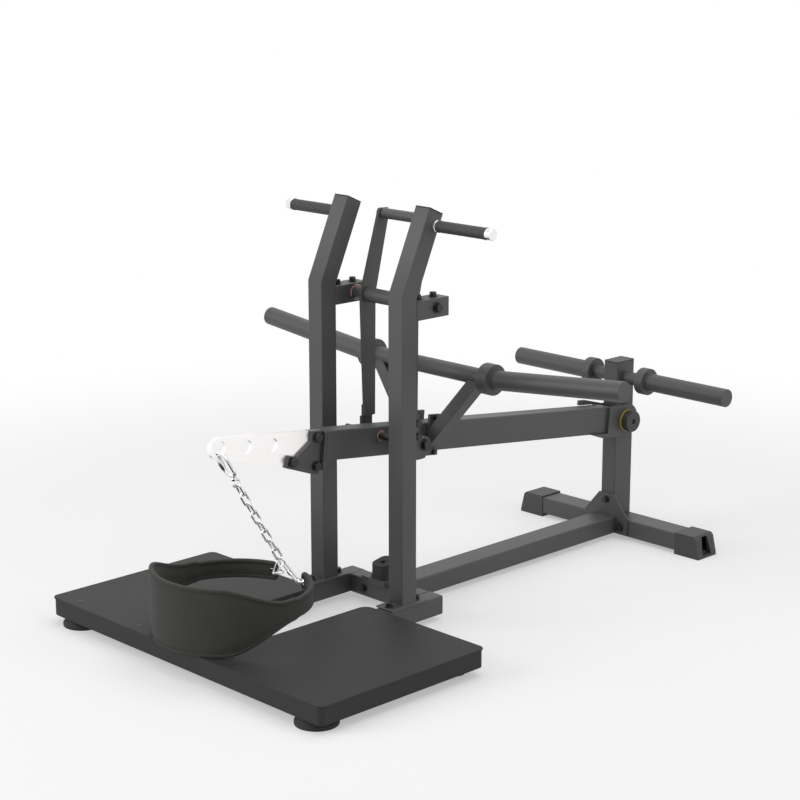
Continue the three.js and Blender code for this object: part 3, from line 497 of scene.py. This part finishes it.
# %% Bolts on the base
UPRIGHT_X, FOOT_PLATE_TOP, BLOCK_TOP, FLANGE_FACE, CROSS_FACE = 146, 70, 841, 745.2, -152.9
UP, FORWARD = (0, 0, 1), (0, -1, 0)
for sign, side in SIDES:
    upright_x = sign * UPRIGHT_X
    fit_bolt(plain_bolt, f"foot_plate_bolt_front_{side}", "base", (upright_x, -269.85, FOOT_PLATE_TOP), UP)
    fit_bolt(plain_bolt, f"foot_plate_bolt_rear_{side}", "base", (upright_x, -175.85, FOOT_PLATE_TOP), UP)
    fit_bolt(plain_bolt, f"pivot_bolt_rear_{side}", "base", (upright_x, -117.85, BLOCK_TOP), UP)
    fit_bolt(plain_bolt, f"pivot_bolt_front_{side}", "base", (upright_x, -170.85, BLOCK_TOP), UP)
    fit_bolt(plain_bolt, f"flange_bolt_low_{side}", "base", (sign * 55, FLANGE_FACE, 35), FORWARD)
    fit_bolt(plain_bolt, f"cross_bolt_{side}", "base", (sign * 70, CROSS_FACE, 37), FORWARD)
fit_bolt(plain_bolt, "flange_bolt_top", "base", (0, FLANGE_FACE, 109), FORWARD)
print("bolts on the base fitted")

# %% [markdown]
# The arm was drawn along its own line, with the pivot as its zero point, and then turned a
# little. A bolt's place is easier to give on that line, and one function turns it after.

# %% Bolts on the arm and the lever
ARM_TURN = math.radians(6.73)
CLAMP_FACE, FLANGE_SIDE, LEVER_FACE = 13.3, 33.3, 90.3


def joint_place(name):
    return Vector(next(joint["pos_m"] for joint in frame["joints"] if joint["name"] == name))


arm_pivot = joint_place("arm_pivot")


def on_arm(y, z):
    return (arm_pivot.y * 1000 + y * math.cos(ARM_TURN) + z * math.sin(ARM_TURN),
            arm_pivot.z * 1000 - y * math.sin(ARM_TURN) + z * math.cos(ARM_TURN))


for sign, side in SIDES:
    out = (sign, 0, 0)
    for number, (y, z) in enumerate(((-1185.1, 23.4), (-1181.3, -49), (-1260, -34)), 1):
        place = (sign * CLAMP_FACE, *on_arm(y, z))
        fit_bolt(clamp_bolt, f"clamp_bolt_{number}_{side}", "arm", place, out)
    for number, (y, z) in enumerate(((-792, 53), (-788, -38)), 1):
        place = (sign * FLANGE_SIDE, *on_arm(y, z))
        fit_bolt(small_bolt, f"brace_bolt_{number}_{side}", "arm", place, out)
    for number, z in enumerate((508, 474), 1):
        place = (sign * LEVER_FACE, -118.85, z)
        fit_bolt(plain_bolt, f"hook_bolt_{number}_{side}", "lock_lever", place, out)
    fit_bolt(wide_bolt, f"buffer_bolt_{side}", "lock_lever", (sign * LEVER_FACE, -88.35, 446), out)
print("bolts on the arm and the lever fitted")

# %% [markdown]
# The lever turns on a steel rod that runs through both blocks, with a nut and a washer on
# each end. Polished bronze rings sit between the lever and the blocks, and round the
# catch shaft. All of them are turned from a profile, and the nuts come from the bolt.

# %% Rods, nuts and bronze rings
def rod_profile(radius, length, chamfer=0.001):
    return [(0, 0), (radius - chamfer, 0), (radius, chamfer), (radius, length - chamfer),
            (radius - chamfer, length), (0, length)]


def ring_profile(inner, outer, thick, chamfer=0.0005):
    return [(inner, 0), (outer - chamfer, 0), (outer, chamfer), (outer, thick - chamfer),
            (outer - chamfer, thick), (inner, thick), (inner, 0)]


def middle_of(node):
    low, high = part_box(node)
    return (low + high) / 2, (high - low) / 2


lever_axle, lever_half = middle_of("lever_axle")
block_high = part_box("pivot_block_right")[1]
ROD_PAST, LEVER_RING_AT, CATCH_RING_AT = 0.012, 0.118, 0.0254
rod = turned(rod_profile(0.010, 2 * block_high.x + 2 * ROD_PAST))
stand(rod, (-block_high.x - ROD_PAST, lever_axle.y, lever_axle.z), (1, 0, 0))
settle(rod, "lever_rod", "base", black_steel)
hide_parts("lever_axle")
axle_nut = hexagon_bolt(0.0115, 0.0105, 0.0145, 0.002)
for sign, side in SIDES:
    at = [sign * block_high.x * 1000 + sign * 0.3, lever_axle.y * 1000, lever_axle.z * 1000]
    fit_bolt(axle_nut, f"lever_nut_{side}", "base", at, (sign, 0, 0))
    ring = turned(ring_profile(0.0105, 0.020, 0.0027))
    stand(ring, (sign * LEVER_RING_AT, lever_axle.y, lever_axle.z), (sign, 0, 0))
    settle(ring, f"lever_ring_{side}", "base", bronze)
    catch = middle_of("catch_shaft")[0]
    collar = turned(ring_profile(0.0092, 0.0135, 0.0036))
    stand(collar, (sign * CATCH_RING_AT, catch.y, catch.z), (sign, 0, 0))
    settle(collar, f"catch_ring_{side}", "arm", bronze)
print("lever rod", round(lever_half.x * 2000), "mm between its CAD ends")

# %% [markdown]
# Six flush screws hold the platform's plate to its ribs, and one bolt sits at the bottom
# of the hole in the bumper. A flush screw is a low disc with a hollow drive. The places
# are in millimetres, as for the bolts.

# %% Screws of the platform and the bumper
deck_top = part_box("platform_deck")[1].z
for number, (x, y) in enumerate(((427, -798.85), (182, -798.85), (304, -328.85)), 1):
    for sign, side in SIDES:
        screw = turned([(0, 0.0001), (0.0026, 0.0001), (0.0030, 0.0008), (0.0064, 0.0008), (0.0072, 0.0001),
                        (0.0072, -0.0015), (0, -0.0015)], 24)
        stand(screw, (sign * x / 1000, y / 1000, deck_top), UP)
        settle(screw, f"deck_screw_{number}_{side}", "base", black_steel)
HOLE_FLOOR = 0.0152
bumper_middle, bumper_half = middle_of("bumper_block")
seat = bumper_middle.z - bumper_half.z + HOLE_FLOOR
fit_bolt(small_bolt, "bumper_bolt", "base", (0, -149.85, seat * 1000), UP)
print("bumper bolt seated at", round(seat * 1000), "mm")

# %% [markdown]
# The chain hangs in a straight line from the pull plate to a ring above the belt. A link
# starts as a torus. Half of it is pulled away, which stretches two of its ribbons of faces
# into the straight sides, and a small bead marks the weld. The line of the chain comes
# from the two joints that carry its ends, so the links follow the CAD.

# %% Wire loops
def wire_loop(half_width, length, wire, around=12):
    only(camera)
    bpy.ops.mesh.primitive_torus_add(major_radius=half_width, minor_radius=wire, major_segments=32,
                                     minor_segments=around, rotation=(0, 0, math.pi / 32))
    loop = bpy.context.object
    bpy.ops.object.transform_apply(location=False, rotation=True, scale=False)
    for vertex in loop.data.vertices:
        if vertex.co.y < 0:
            vertex.co.y -= length - 2 * half_width
        vertex.co.y -= half_width
    smooth(loop, 60)
    return loop


def joined(main, *others):
    only(main, *others)
    bpy.ops.object.join()
    return main


hook_top = joint_place("snap_hook_swing")
apex = joint_place("chain_swing")
down = (apex - hook_top).normalized()
across = Vector((1, 0, 0))
chain_axes = Matrix((across, -down, across.cross(-down))).transposed().to_4x4()
chain_line = Matrix.Translation(hook_top) @ chain_axes
print("the chain leans", round(math.degrees(down.angle(Vector((0, 0, -1)))), 1), "degrees")

# %% [markdown]
# All eight links are alike. Every second one is turned a quarter about the chain's line,
# so that each link passes through the next.

# %% Links of the chain
LINK_START, LINK_PITCH, LINK_LENGTH, LINK_HALF, LINK_WIRE = 0.102, 0.0313, 0.0370, 0.008, 0.003
LINK_COUNT = 8
links = []
for number in range(LINK_COUNT):
    link = wire_loop(LINK_HALF, LINK_LENGTH, LINK_WIRE)
    bead = turned([(0.0020, -0.0024), (0.0031, -0.0018), (0.0034, 0), (0.0031, 0.0018), (0.0020, 0.0024),
                   (0.0020, -0.0024)], 12)
    stand(bead, (LINK_HALF, -LINK_LENGTH / 2, 0), (0, 1, 0))
    joined(link, bead)
    turn = Matrix.Rotation(math.radians(90) * (number % 2), 4, "Y")
    link.matrix_world = chain_line @ Matrix.Translation((0, -LINK_START - number * LINK_PITCH, 0)) @ turn
    links.append(link)
chain = joined(*links)
settle(chain, "chain_links", "chain", chrome)
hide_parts("chain")
print("chain of", len(links), "links")

# %% [markdown]
# The snap hook is a larger loop with a gap in one side, and a spring gate closes the gap.
# A swollen spine stands opposite the gate. Below the loop a swivel barrel ends in an eye
# for the first link. The gap is cut with a Boolean, because a torus has no ends. Places
# along the hook are measured from its top, so they run below zero.

# %% Snap hook
HOOK_HALF, HOOK_LENGTH, HOOK_WIRE = 0.018, 0.076, 0.0045
GAP_WIDE, GAP_LONG = 0.014, 0.040
SPINE_AT, GATE_AT, THUMB_AT, RIVET_AT, BARREL_AT, EYE_AT = -0.060, -0.0578, -0.052, -0.0598, -0.0888, -0.0903
THUMB_OUT, RIVET_LENGTH, EYE_HALF, EYE_WIRE = 0.002, 0.0104, 0.009, 0.003
body = wire_loop(HOOK_HALF, HOOK_LENGTH, HOOK_WIRE, 16)
only(camera)
bpy.ops.mesh.primitive_cube_add(size=1, location=(HOOK_HALF, -HOOK_LENGTH / 2, 0),
                                scale=(GAP_WIDE, GAP_LONG, GAP_WIDE))
window = bpy.context.object
modified(body, "BOOLEAN", operation="DIFFERENCE", object=window, solver="EXACT")
bpy.data.objects.remove(window)
spine = turned([(0, 0), (0.0040, 0), (0.0062, 0.004), (0.0072, 0.020), (0.0062, 0.036), (0.0040, 0.042),
                (0, 0.042)], 20)
stand(spine, (-HOOK_HALF, SPINE_AT, 0), (0, 1, 0))
gate = turned([(0, 0), (0.0026, 0), (0.0034, 0.0008), (0.0034, 0.0385), (0.0028, 0.0396),
               (0, 0.0396)], 20)
stand(gate, (HOOK_HALF, GATE_AT, 0), (0, 1, 0))
thumb = turned([(0, 0), (0.0019, 0), (0.0019, 0.0058), (0.0029, 0.0062), (0.0029, 0.0076), (0.0022, 0.0082),
                (0, 0.0082)], 16)
stand(thumb, (HOOK_HALF + THUMB_OUT, THUMB_AT, 0), (1, 0, 0))
rivet = turned(rod_profile(0.0017, RIVET_LENGTH, 0.0003), 16)
stand(rivet, (HOOK_HALF, RIVET_AT, -RIVET_LENGTH / 2), (0, 0, 1))
barrel = turned([(0, 0), (0.0055, 0), (0.0070, 0.0012), (0.0070, 0.0072), (0.0058, 0.0082), (0.0044, 0.0090),
                 (0, 0.0090)], 24)
stand(barrel, (0, BARREL_AT, 0), (0, 1, 0))
eye = wire_loop(EYE_HALF, 2 * EYE_HALF, EYE_WIRE)
eye.matrix_world = Matrix.Translation((0, EYE_AT, 0)) @ Matrix.Rotation(math.radians(90), 4, "Y")
for piece in (spine, gate, thumb, rivet, barrel, eye):
    frozen(piece)
hook = joined(body, spine, gate, thumb, rivet, barrel, eye)
hook.matrix_world = chain_line
settle(hook, "snap_hook", "snap_hook", chrome)
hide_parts("snap_hook_body", "snap_hook_gate", "snap_hook_swivel")
print("snap hook of", len(hook.data.polygons), "faces")

# %% [markdown]
# Under the chain one ring gathers two small hooks, and each of them reaches to a ring in
# an end of the belt. These stay with the belt on the platform while the arm moves, so
# they are one piece on the base, as in the CAD.

# %% Rings and hooks of the belt
BELT_RING, RING_WIRE, END_HALF, END_WIRE = 0.014, 0.0026, 0.0068, 0.0023
HOLD_IN, HOLD_FRONT, HOOK_ASIDE, HOOK_DROP, SLEEVE_SHARE = 0.0034, 0.0136, 0.008, 0.004, 0.62
GATHER, GATHER_WIRE, CAD_RING_WIRE = 0.012, 0.0025, 0.0025
bridle_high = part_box("belt_bridle")[1]
ring_x = bridle_high.x - BELT_RING - CAD_RING_WIRE
ring_y = bridle_high.y - BELT_RING - CAD_RING_WIRE
ring_z = 0.1635
parts = []
for sign in (-1, 1):
    ring = wire_loop(BELT_RING, 2 * BELT_RING, RING_WIRE)
    ring.matrix_world = Matrix.Translation((sign * ring_x, ring_y + BELT_RING, ring_z))
    hold = Vector((sign * (ring_x - HOLD_IN), ring_y - HOLD_FRONT, ring_z))
    top = apex + Vector((sign * HOOK_ASIDE, 0, -HOOK_DROP))
    run = (hold - top).length + END_WIRE
    up = (top - hold).normalized()
    side = Vector((0, 0, 1)).cross(up).normalized()
    place = Matrix((side, up, side.cross(up))).transposed().to_4x4()
    loop = wire_loop(END_HALF, run, END_WIRE)
    loop.matrix_world = Matrix.Translation(top) @ place
    sleeve = turned([(0, 0), (0.0030, 0), (0.0046, 0.002), (0.0046, 0.012), (0.0034, 0.015),
                     (0, 0.015)], 20)
    sleeve.matrix_world = loop.matrix_world @ Matrix.Translation((END_HALF, -run * SLEEVE_SHARE, 0)) @ \
        Matrix.Rotation(math.radians(-90), 4, "X")
    parts += [ring, loop, sleeve]
gather = wire_loop(GATHER, 2 * GATHER, GATHER_WIRE)
gather.matrix_world = Matrix.Translation(apex) @ chain_axes @ Matrix.Translation((0, GATHER, 0))
bridle = joined(gather, *parts)
settle(bridle, "belt_rings", "base", chrome)
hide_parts("belt_bridle")
print("rings at", round(ring_x * 1000), "and", round(ring_y * 1000))

# %% [markdown]
# The belt is one long pad bent into an open ring. It is easiest to shape while it lies
# flat: every point has a distance along the belt and a height, and only the last step
# wraps it round. The pad is high where it holds the wearer's back. From its ends a
# narrower strap goes on to the two rings. The CAD gives the radius and the heights.

# %% The shape of the belt while it is flat
CAD_RIM = 0.006
belt_low, belt_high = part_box("belt")
BELT_RADIUS = (belt_high.x - belt_low.x) / 2 - CAD_RIM
BELT_CENTRE = Vector((0, belt_low.y + BELT_RADIUS + CAD_RIM))
BELT_FLOOR, BELT_TOP = 0.0704, 0.240
STRAP_LOW, STRAP_HIGH, STEP = 0.139, 0.188, 0.0035
PAD_END, STRAP_END = 103, 166
TOP_FALLS, FLOOR_RISES = (40, 95), (42, 100)
CORNER = 0.011


def eased(value, start, end):
    share = min(max((value - start) / (end - start), 0), 1)
    return share * share * (3 - 2 * share)


def belt_heights(degrees, step=0.0):
    away = abs(degrees)
    top = BELT_TOP + (STRAP_HIGH + step - BELT_TOP) * eased(away, *TOP_FALLS)
    low = BELT_FLOOR + (STRAP_LOW - step - BELT_FLOOR) * eased(away, *FLOOR_RISES)
    return low, top


def along(degrees):
    return BELT_RADIUS * math.radians(degrees)


def wrapped(distance, height, out=0.0):
    turn = distance / BELT_RADIUS
    reach = BELT_RADIUS + out
    return (reach * math.sin(turn), BELT_CENTRE.y - reach * math.cos(turn), height)


def flat_sheet(start, end, step, thick, out, rows=24):
    mesh = bpy.data.meshes.new("sheet")
    columns = round(abs(along(end) - along(start)) / 0.005)
    points = []
    for i in range(columns + 1):
        degrees = start + (end - start) * i / columns
        rest = min(abs(along(degrees) - along(start)), abs(along(end) - along(degrees)))
        reach = max(CORNER - rest, 0)
        inset = CORNER - math.sqrt(CORNER ** 2 - reach ** 2)
        low, top = belt_heights(degrees, step)
        for k in range(rows + 1):
            points.append(wrapped(along(degrees), low + inset + (top - low - 2 * inset) * k / rows, out))
    faces = []
    for i in range(columns):
        for k in range(rows):
            first = i * (rows + 1) + k
            faces.append((first, first + rows + 1, first + rows + 2, first + 1))
    mesh.from_pydata(points, [], faces)
    sheet = linked("sheet", mesh)
    modified(sheet, "SOLIDIFY", thickness=thick, offset=0)
    return sheet


print("the belt is", round(along(2 * STRAP_END) * 1000), "mm long from tip to tip")

# %% [markdown]
# The pad and the two straps are thin closed sheets. A voxel remesh joins them into one
# skin with even faces, and Cloth with a little pressure puffs that skin up, as foam does
# under tight fabric. How far a point may move grows from nothing at the edge to three
# millimetres, so the edge keeps its line. One subdivision smooths the result.

# %% Pad and straps in one skin
PAD_THICK, PAD_OUT, STRAP_THICK, STRAP_OUT, LAP = 0.0085, -0.0010, 0.0070, 0.0008, 12
pad = joined(flat_sheet(-PAD_END, PAD_END, STEP, PAD_THICK, PAD_OUT),
             flat_sheet(-STRAP_END, -PAD_END + LAP, 0, STRAP_THICK, STRAP_OUT),
             flat_sheet(PAD_END - LAP, STRAP_END, 0, STRAP_THICK, STRAP_OUT))
modified(pad, "REMESH", mode="VOXEL", voxel_size=0.0042)
modified(pad, "SMOOTH", factor=0.5, iterations=4)
print("skin of", len(pad.data.polygons), "faces")
LAST_FRAME = 20


def puffed(piece, travel, pressure=4.0):
    start = [vertex.co.copy() for vertex in piece.data.vertices]
    only(piece)
    cloth = piece.modifiers.new("cloth", "CLOTH")
    cloth.settings.use_pressure = True
    cloth.settings.uniform_pressure_force = pressure
    cloth.settings.effector_weights.gravity = 0
    cloth.point_cache.frame_start = 1
    cloth.point_cache.frame_end = LAST_FRAME
    for step in range(1, LAST_FRAME + 1):
        bpy.context.scene.frame_set(step)
    bpy.ops.object.modifier_apply(modifier=cloth.name)
    bpy.context.scene.frame_set(1)
    for vertex, rest in zip(piece.data.vertices, start):
        turn = math.atan2(rest.x, BELT_CENTRE.y - rest.y)
        low, top = belt_heights(math.degrees(turn), STEP)
        tip = along(STRAP_END) - abs(BELT_RADIUS * turn)
        edge = max(min(rest.z - low, top - rest.z, tip), 0)
        limit = travel * eased(edge, 0.006, 0.030)
        move = vertex.co - rest
        if move.length > limit:
            vertex.co = rest + move.normalized() * limit


puffed(pad, 0.003)
modified(pad, "SUBSURF", levels=1, render_levels=1)
print("padded skin of", len(pad.data.polygons), "faces")

# %% [markdown]
# The fabric is a warm black knit. Its fine ribs run up the belt, so the pattern follows
# the angle round the belt's centre, which ArcTan2 gives from the Object coordinates. A
# little sheen lightens it where it turns away, as worn fibres do.

# %% Fabric
def knit(name, dark, light, ribs, depth):
    material, nodes, links = new_material(name)
    place = nodes.new("ShaderNodeTexCoord")
    centred = nodes.new("ShaderNodeMapping")
    centred.inputs["Location"].default_value = (0, -BELT_CENTRE.y, 0)
    parts = nodes.new("ShaderNodeSeparateXYZ")
    angle = nodes.new("ShaderNodeMath")
    angle.operation = "ARCTAN2"
    count = nodes.new("ShaderNodeMath")
    count.operation = "MULTIPLY"
    count.inputs[1].default_value = ribs
    wave = nodes.new("ShaderNodeMath")
    wave.operation = "SINE"
    fuzz = nodes.new("ShaderNodeTexNoise")
    fuzz.inputs["Scale"].default_value = 1500
    fuzz.inputs["Detail"].default_value = 4
    cloud = nodes.new("ShaderNodeTexNoise")
    cloud.inputs["Scale"].default_value = 9
    cloud.inputs["Detail"].default_value = 5
    height = nodes.new("ShaderNodeMath")
    height.operation = "MULTIPLY_ADD"
    height.inputs[1].default_value = 0.35
    dents = nodes.new("ShaderNodeBump")
    dents.inputs["Strength"].default_value = 0.5
    dents.inputs["Distance"].default_value = depth
    tones = nodes.new("ShaderNodeMix")
    tones.data_type = "RGBA"
    tones.inputs["A"].default_value = (*dark, 1)
    tones.inputs["B"].default_value = (*light, 1)
    shader = nodes.new("ShaderNodeBsdfPrincipled")
    shader.inputs["Roughness"].default_value = 0.92
    shader.inputs["Sheen Weight"].default_value = 0.12
    shader.inputs["Sheen Roughness"].default_value = 0.45
    shader.inputs["Specular IOR Level"].default_value = 0.2
    result = nodes.new("ShaderNodeOutputMaterial")
    links.new(place.outputs["Object"], centred.inputs["Vector"])
    links.new(centred.outputs["Vector"], parts.inputs["Vector"])
    links.new(parts.outputs["X"], angle.inputs[0])
    links.new(parts.outputs["Y"], angle.inputs[1])
    links.new(angle.outputs[0], count.inputs[0])
    links.new(count.outputs[0], wave.inputs[0])
    links.new(place.outputs["Object"], fuzz.inputs["Vector"])
    links.new(place.outputs["Object"], cloud.inputs["Vector"])
    links.new(wave.outputs[0], height.inputs[0])
    links.new(fuzz.outputs["Fac"], height.inputs[2])
    links.new(height.outputs[0], dents.inputs["Height"])
    links.new(cloud.outputs["Fac"], tones.inputs["Factor"])
    links.new(tones.outputs["Result"], shader.inputs["Base Color"])
    links.new(dents.outputs["Normal"], shader.inputs["Normal"])
    links.new(shader.outputs[0], result.inputs["Surface"])
    print("fabric", name)
    return material


pad_fabric = knit("charcoal_knit_fabric", (0.053, 0.053, 0.049), (0.067, 0.067, 0.062), 480, 0.0004)
tape_fabric = knit("binding_tape_fabric", (0.054, 0.054, 0.048), (0.068, 0.068, 0.061), 760, 0.0003)
only(pad)
bpy.ops.object.shade_smooth()
settle(pad, "belt_pad", "base", pad_fabric)
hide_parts("belt")

# %% [markdown]
# A tape is folded over the raw edge all the way round and sewn down. Its path is the
# outline of the flat belt, walked in steps of four millimetres, and a rounded section is
# carried along it. Where the section ends a groove is left, and a row of stitches runs
# just outside that groove.

# %% The outline of the flat belt
def belt_outline(spacing=0.004):
    path = []
    count = round(along(2 * STRAP_END) / spacing)
    lows, tops = [], []
    for i in range(count + 1):
        degrees = -STRAP_END + 2 * STRAP_END * i / count
        inside = 1 - eased(abs(degrees), PAD_END - 3, PAD_END + 1)
        low, top = belt_heights(degrees, STEP * inside)
        lows.append(Vector((along(degrees), low)))
        tops.append(Vector((along(degrees), top)))
    reach = math.ceil(CORNER / spacing)
    for side, (rows, heading) in enumerate(((tops, 1), (lows[::-1], -1))):
        path += rows[reach:-reach]
        end = rows[-reach - 1]
        other = (lows if side == 0 else tops[::-1])[-reach - 1]
        radius = along(STRAP_END) - abs(end.x)
        for corner, start in ((end.y, 90), (other.y, 0)):
            lift = heading * radius
            middle = Vector((end.x, corner - lift if start == 90 else corner + lift))
            for turn in range(0, 91, 15):
                angle = math.radians(start - turn)
                path.append(middle + heading * radius * Vector((math.cos(angle), math.sin(angle))))
    return path


def resampled(path, spacing):
    closed = path + [path[0]]
    lengths = [(b - a).length for a, b in zip(closed, closed[1:])]
    total = sum(lengths)
    count = round(total / spacing)
    points, passed, i = [], 0.0, 0
    for k in range(count):
        goal = total * k / count
        while passed + lengths[i] < goal:
            passed += lengths[i]
            i += 1
        points.append(closed[i].lerp(closed[i + 1], (goal - passed) / lengths[i]))
    return points


def inward_of(points):
    result = []
    for i in range(len(points)):
        run = points[(i + 1) % len(points)] - points[i - 1]
        result.append(Vector((run.y, -run.x)).normalized())
    return result


outline = resampled(belt_outline(), 0.004)
inward = inward_of(outline)
print("outline of", len(outline), "points, inward at the top", tuple(round(v, 2) for v in inward[20]))

# %% [markdown]
# The tape's section is half drawn and half mirrored. It is set up at every point of the
# outline, and faces join each section to the next. The last one joins the first.

# %% Binding tape
def faced_out(piece):
    only(piece)
    bpy.ops.object.mode_set(mode="EDIT")
    bpy.ops.mesh.select_all(action="SELECT")
    bpy.ops.mesh.normals_make_consistent(inside=False)
    bpy.ops.object.mode_set(mode="OBJECT")


def carried(points, normals, section, name):
    mesh = bpy.data.meshes.new(name)
    rings = [[wrapped(p.x + n.x * depth, p.y + n.y * depth, out) for out, depth in section]
             for p, n in zip(points, normals)]
    size = len(section)
    faces = []
    for i in range(len(rings)):
        ahead = (i + 1) % len(rings)
        for j in range(size):
            after = (j + 1) % size
            faces.append((i * size + j, ahead * size + j, ahead * size + after, i * size + after))
    mesh.from_pydata([point for ring in rings for point in ring], [], faces)
    piece = linked(name, mesh)
    faced_out(piece)
    return piece


half_section = [(0.0030, 0.0004), (0.0050, 0.0015), (0.0060, 0.0034), (0.0061, 0.0064), (0.0055, 0.0082),
                (0.0040, 0.0088)]
section = [(0, 0)] + half_section + [(-out, depth) for out, depth in reversed(half_section)]
tape = carried(outline, inward, section, "binding")
modified(tape, "SUBSURF", levels=1, render_levels=1)
only(tape)
bpy.ops.object.shade_smooth()
settle(tape, "belt_binding", "base", tape_fabric)
print("binding of", len(tape.data.polygons), "faces")

# %% [markdown]
# A stitch is a small arch of thread with its root in the cloth. Each side of the belt gets
# a row of them. There are so many that all of them are written into one mesh, as plain
# lists of points and faces.

# %% Stitches
STITCH, STITCH_HALF, STITCH_PITCH, SEAM_DEPTH = 0.0030, 0.00035, 0.0042, 0.0066
END_LIFT, CREST_LIFT, ROOT_LIFT = 0.0056, 0.0066, 0.0050
seam = resampled([p + n * SEAM_DEPTH for p, n in zip(outline, inward)], STITCH_PITCH)
seam_inward = inward_of(seam)
corners, faces = [], []
for side in (-1, 1):
    for i, (point, normal) in enumerate(zip(seam, seam_inward)):
        ahead = Vector((-normal.y, normal.x)) * STITCH / 2
        base = len(corners)
        for where, lift in ((-1, END_LIFT), (0, CREST_LIFT), (1, END_LIFT)):
            for wide in (-STITCH_HALF, STITCH_HALF):
                spot = point + ahead * where + normal * wide
                corners.append(wrapped(spot.x, spot.y, side * lift))
        corners.append(wrapped(point.x, point.y, side * ROOT_LIFT))
        left = [base, base + 2, base + 4]
        right = [base + 1, base + 3, base + 5]
        faces += [(left[0], left[1], right[1], right[0]), (left[1], left[2], right[2], right[1]),
                  (left[0], right[0], base + 6), (left[2], base + 6, right[2]),
                  (left[0], base + 6, left[1]), (left[1], base + 6, left[2]),
                  (right[0], right[1], base + 6), (right[1], right[2], base + 6)]
thread = bpy.data.meshes.new("stitches")
thread.from_pydata(corners, [], faces)
stitches = linked("stitches", thread)
faced_out(stitches)
thread_finish = finish("black_thread", (0.016, 0.016, 0.015), (0.026, 0.026, 0.024), (0.6, 0.75),
                       grain=2500.0)
settle(stitches, "belt_stitches", "base", thread_finish)
print(len(seam) * 2, "stitches")

# %% [markdown]
# Each end of the belt holds its ring in a metal eyelet, which is turned like a small spool
# and stands across the strap.

# %% Eyelets in the ends of the belt
eyelet_turn = math.radians(STRAP_END) - BELT_RING / BELT_RADIUS
for sign, side in SIDES:
    facing = Vector((sign * math.sin(eyelet_turn), -math.cos(eyelet_turn), 0))
    eyelet = turned([(0.0042, -0.0072), (0.0072, -0.0072), (0.0080, -0.0064), (0.0078, -0.0052),
                     (0.0052, -0.0046), (0.0052, 0.0046), (0.0078, 0.0052), (0.0080, 0.0064),
                     (0.0072, 0.0072), (0.0042, 0.0072), (0.0042, -0.0072)], 32)
    stand(eyelet, wrapped(sign * BELT_RADIUS * eyelet_turn, ring_z), facing)
    settle(eyelet, f"belt_eyelet_{side}", "base", chrome)
print("two eyelets")

# %% [markdown]
# The master bolts were only there to be copied. They still stand at the zero point, so they
# are taken away.

# %% The bolt masters have served
for master in (plain_bolt, wide_bolt, clamp_bolt, small_bolt, axle_nut):
    bpy.data.objects.remove(master)
print("masters removed")
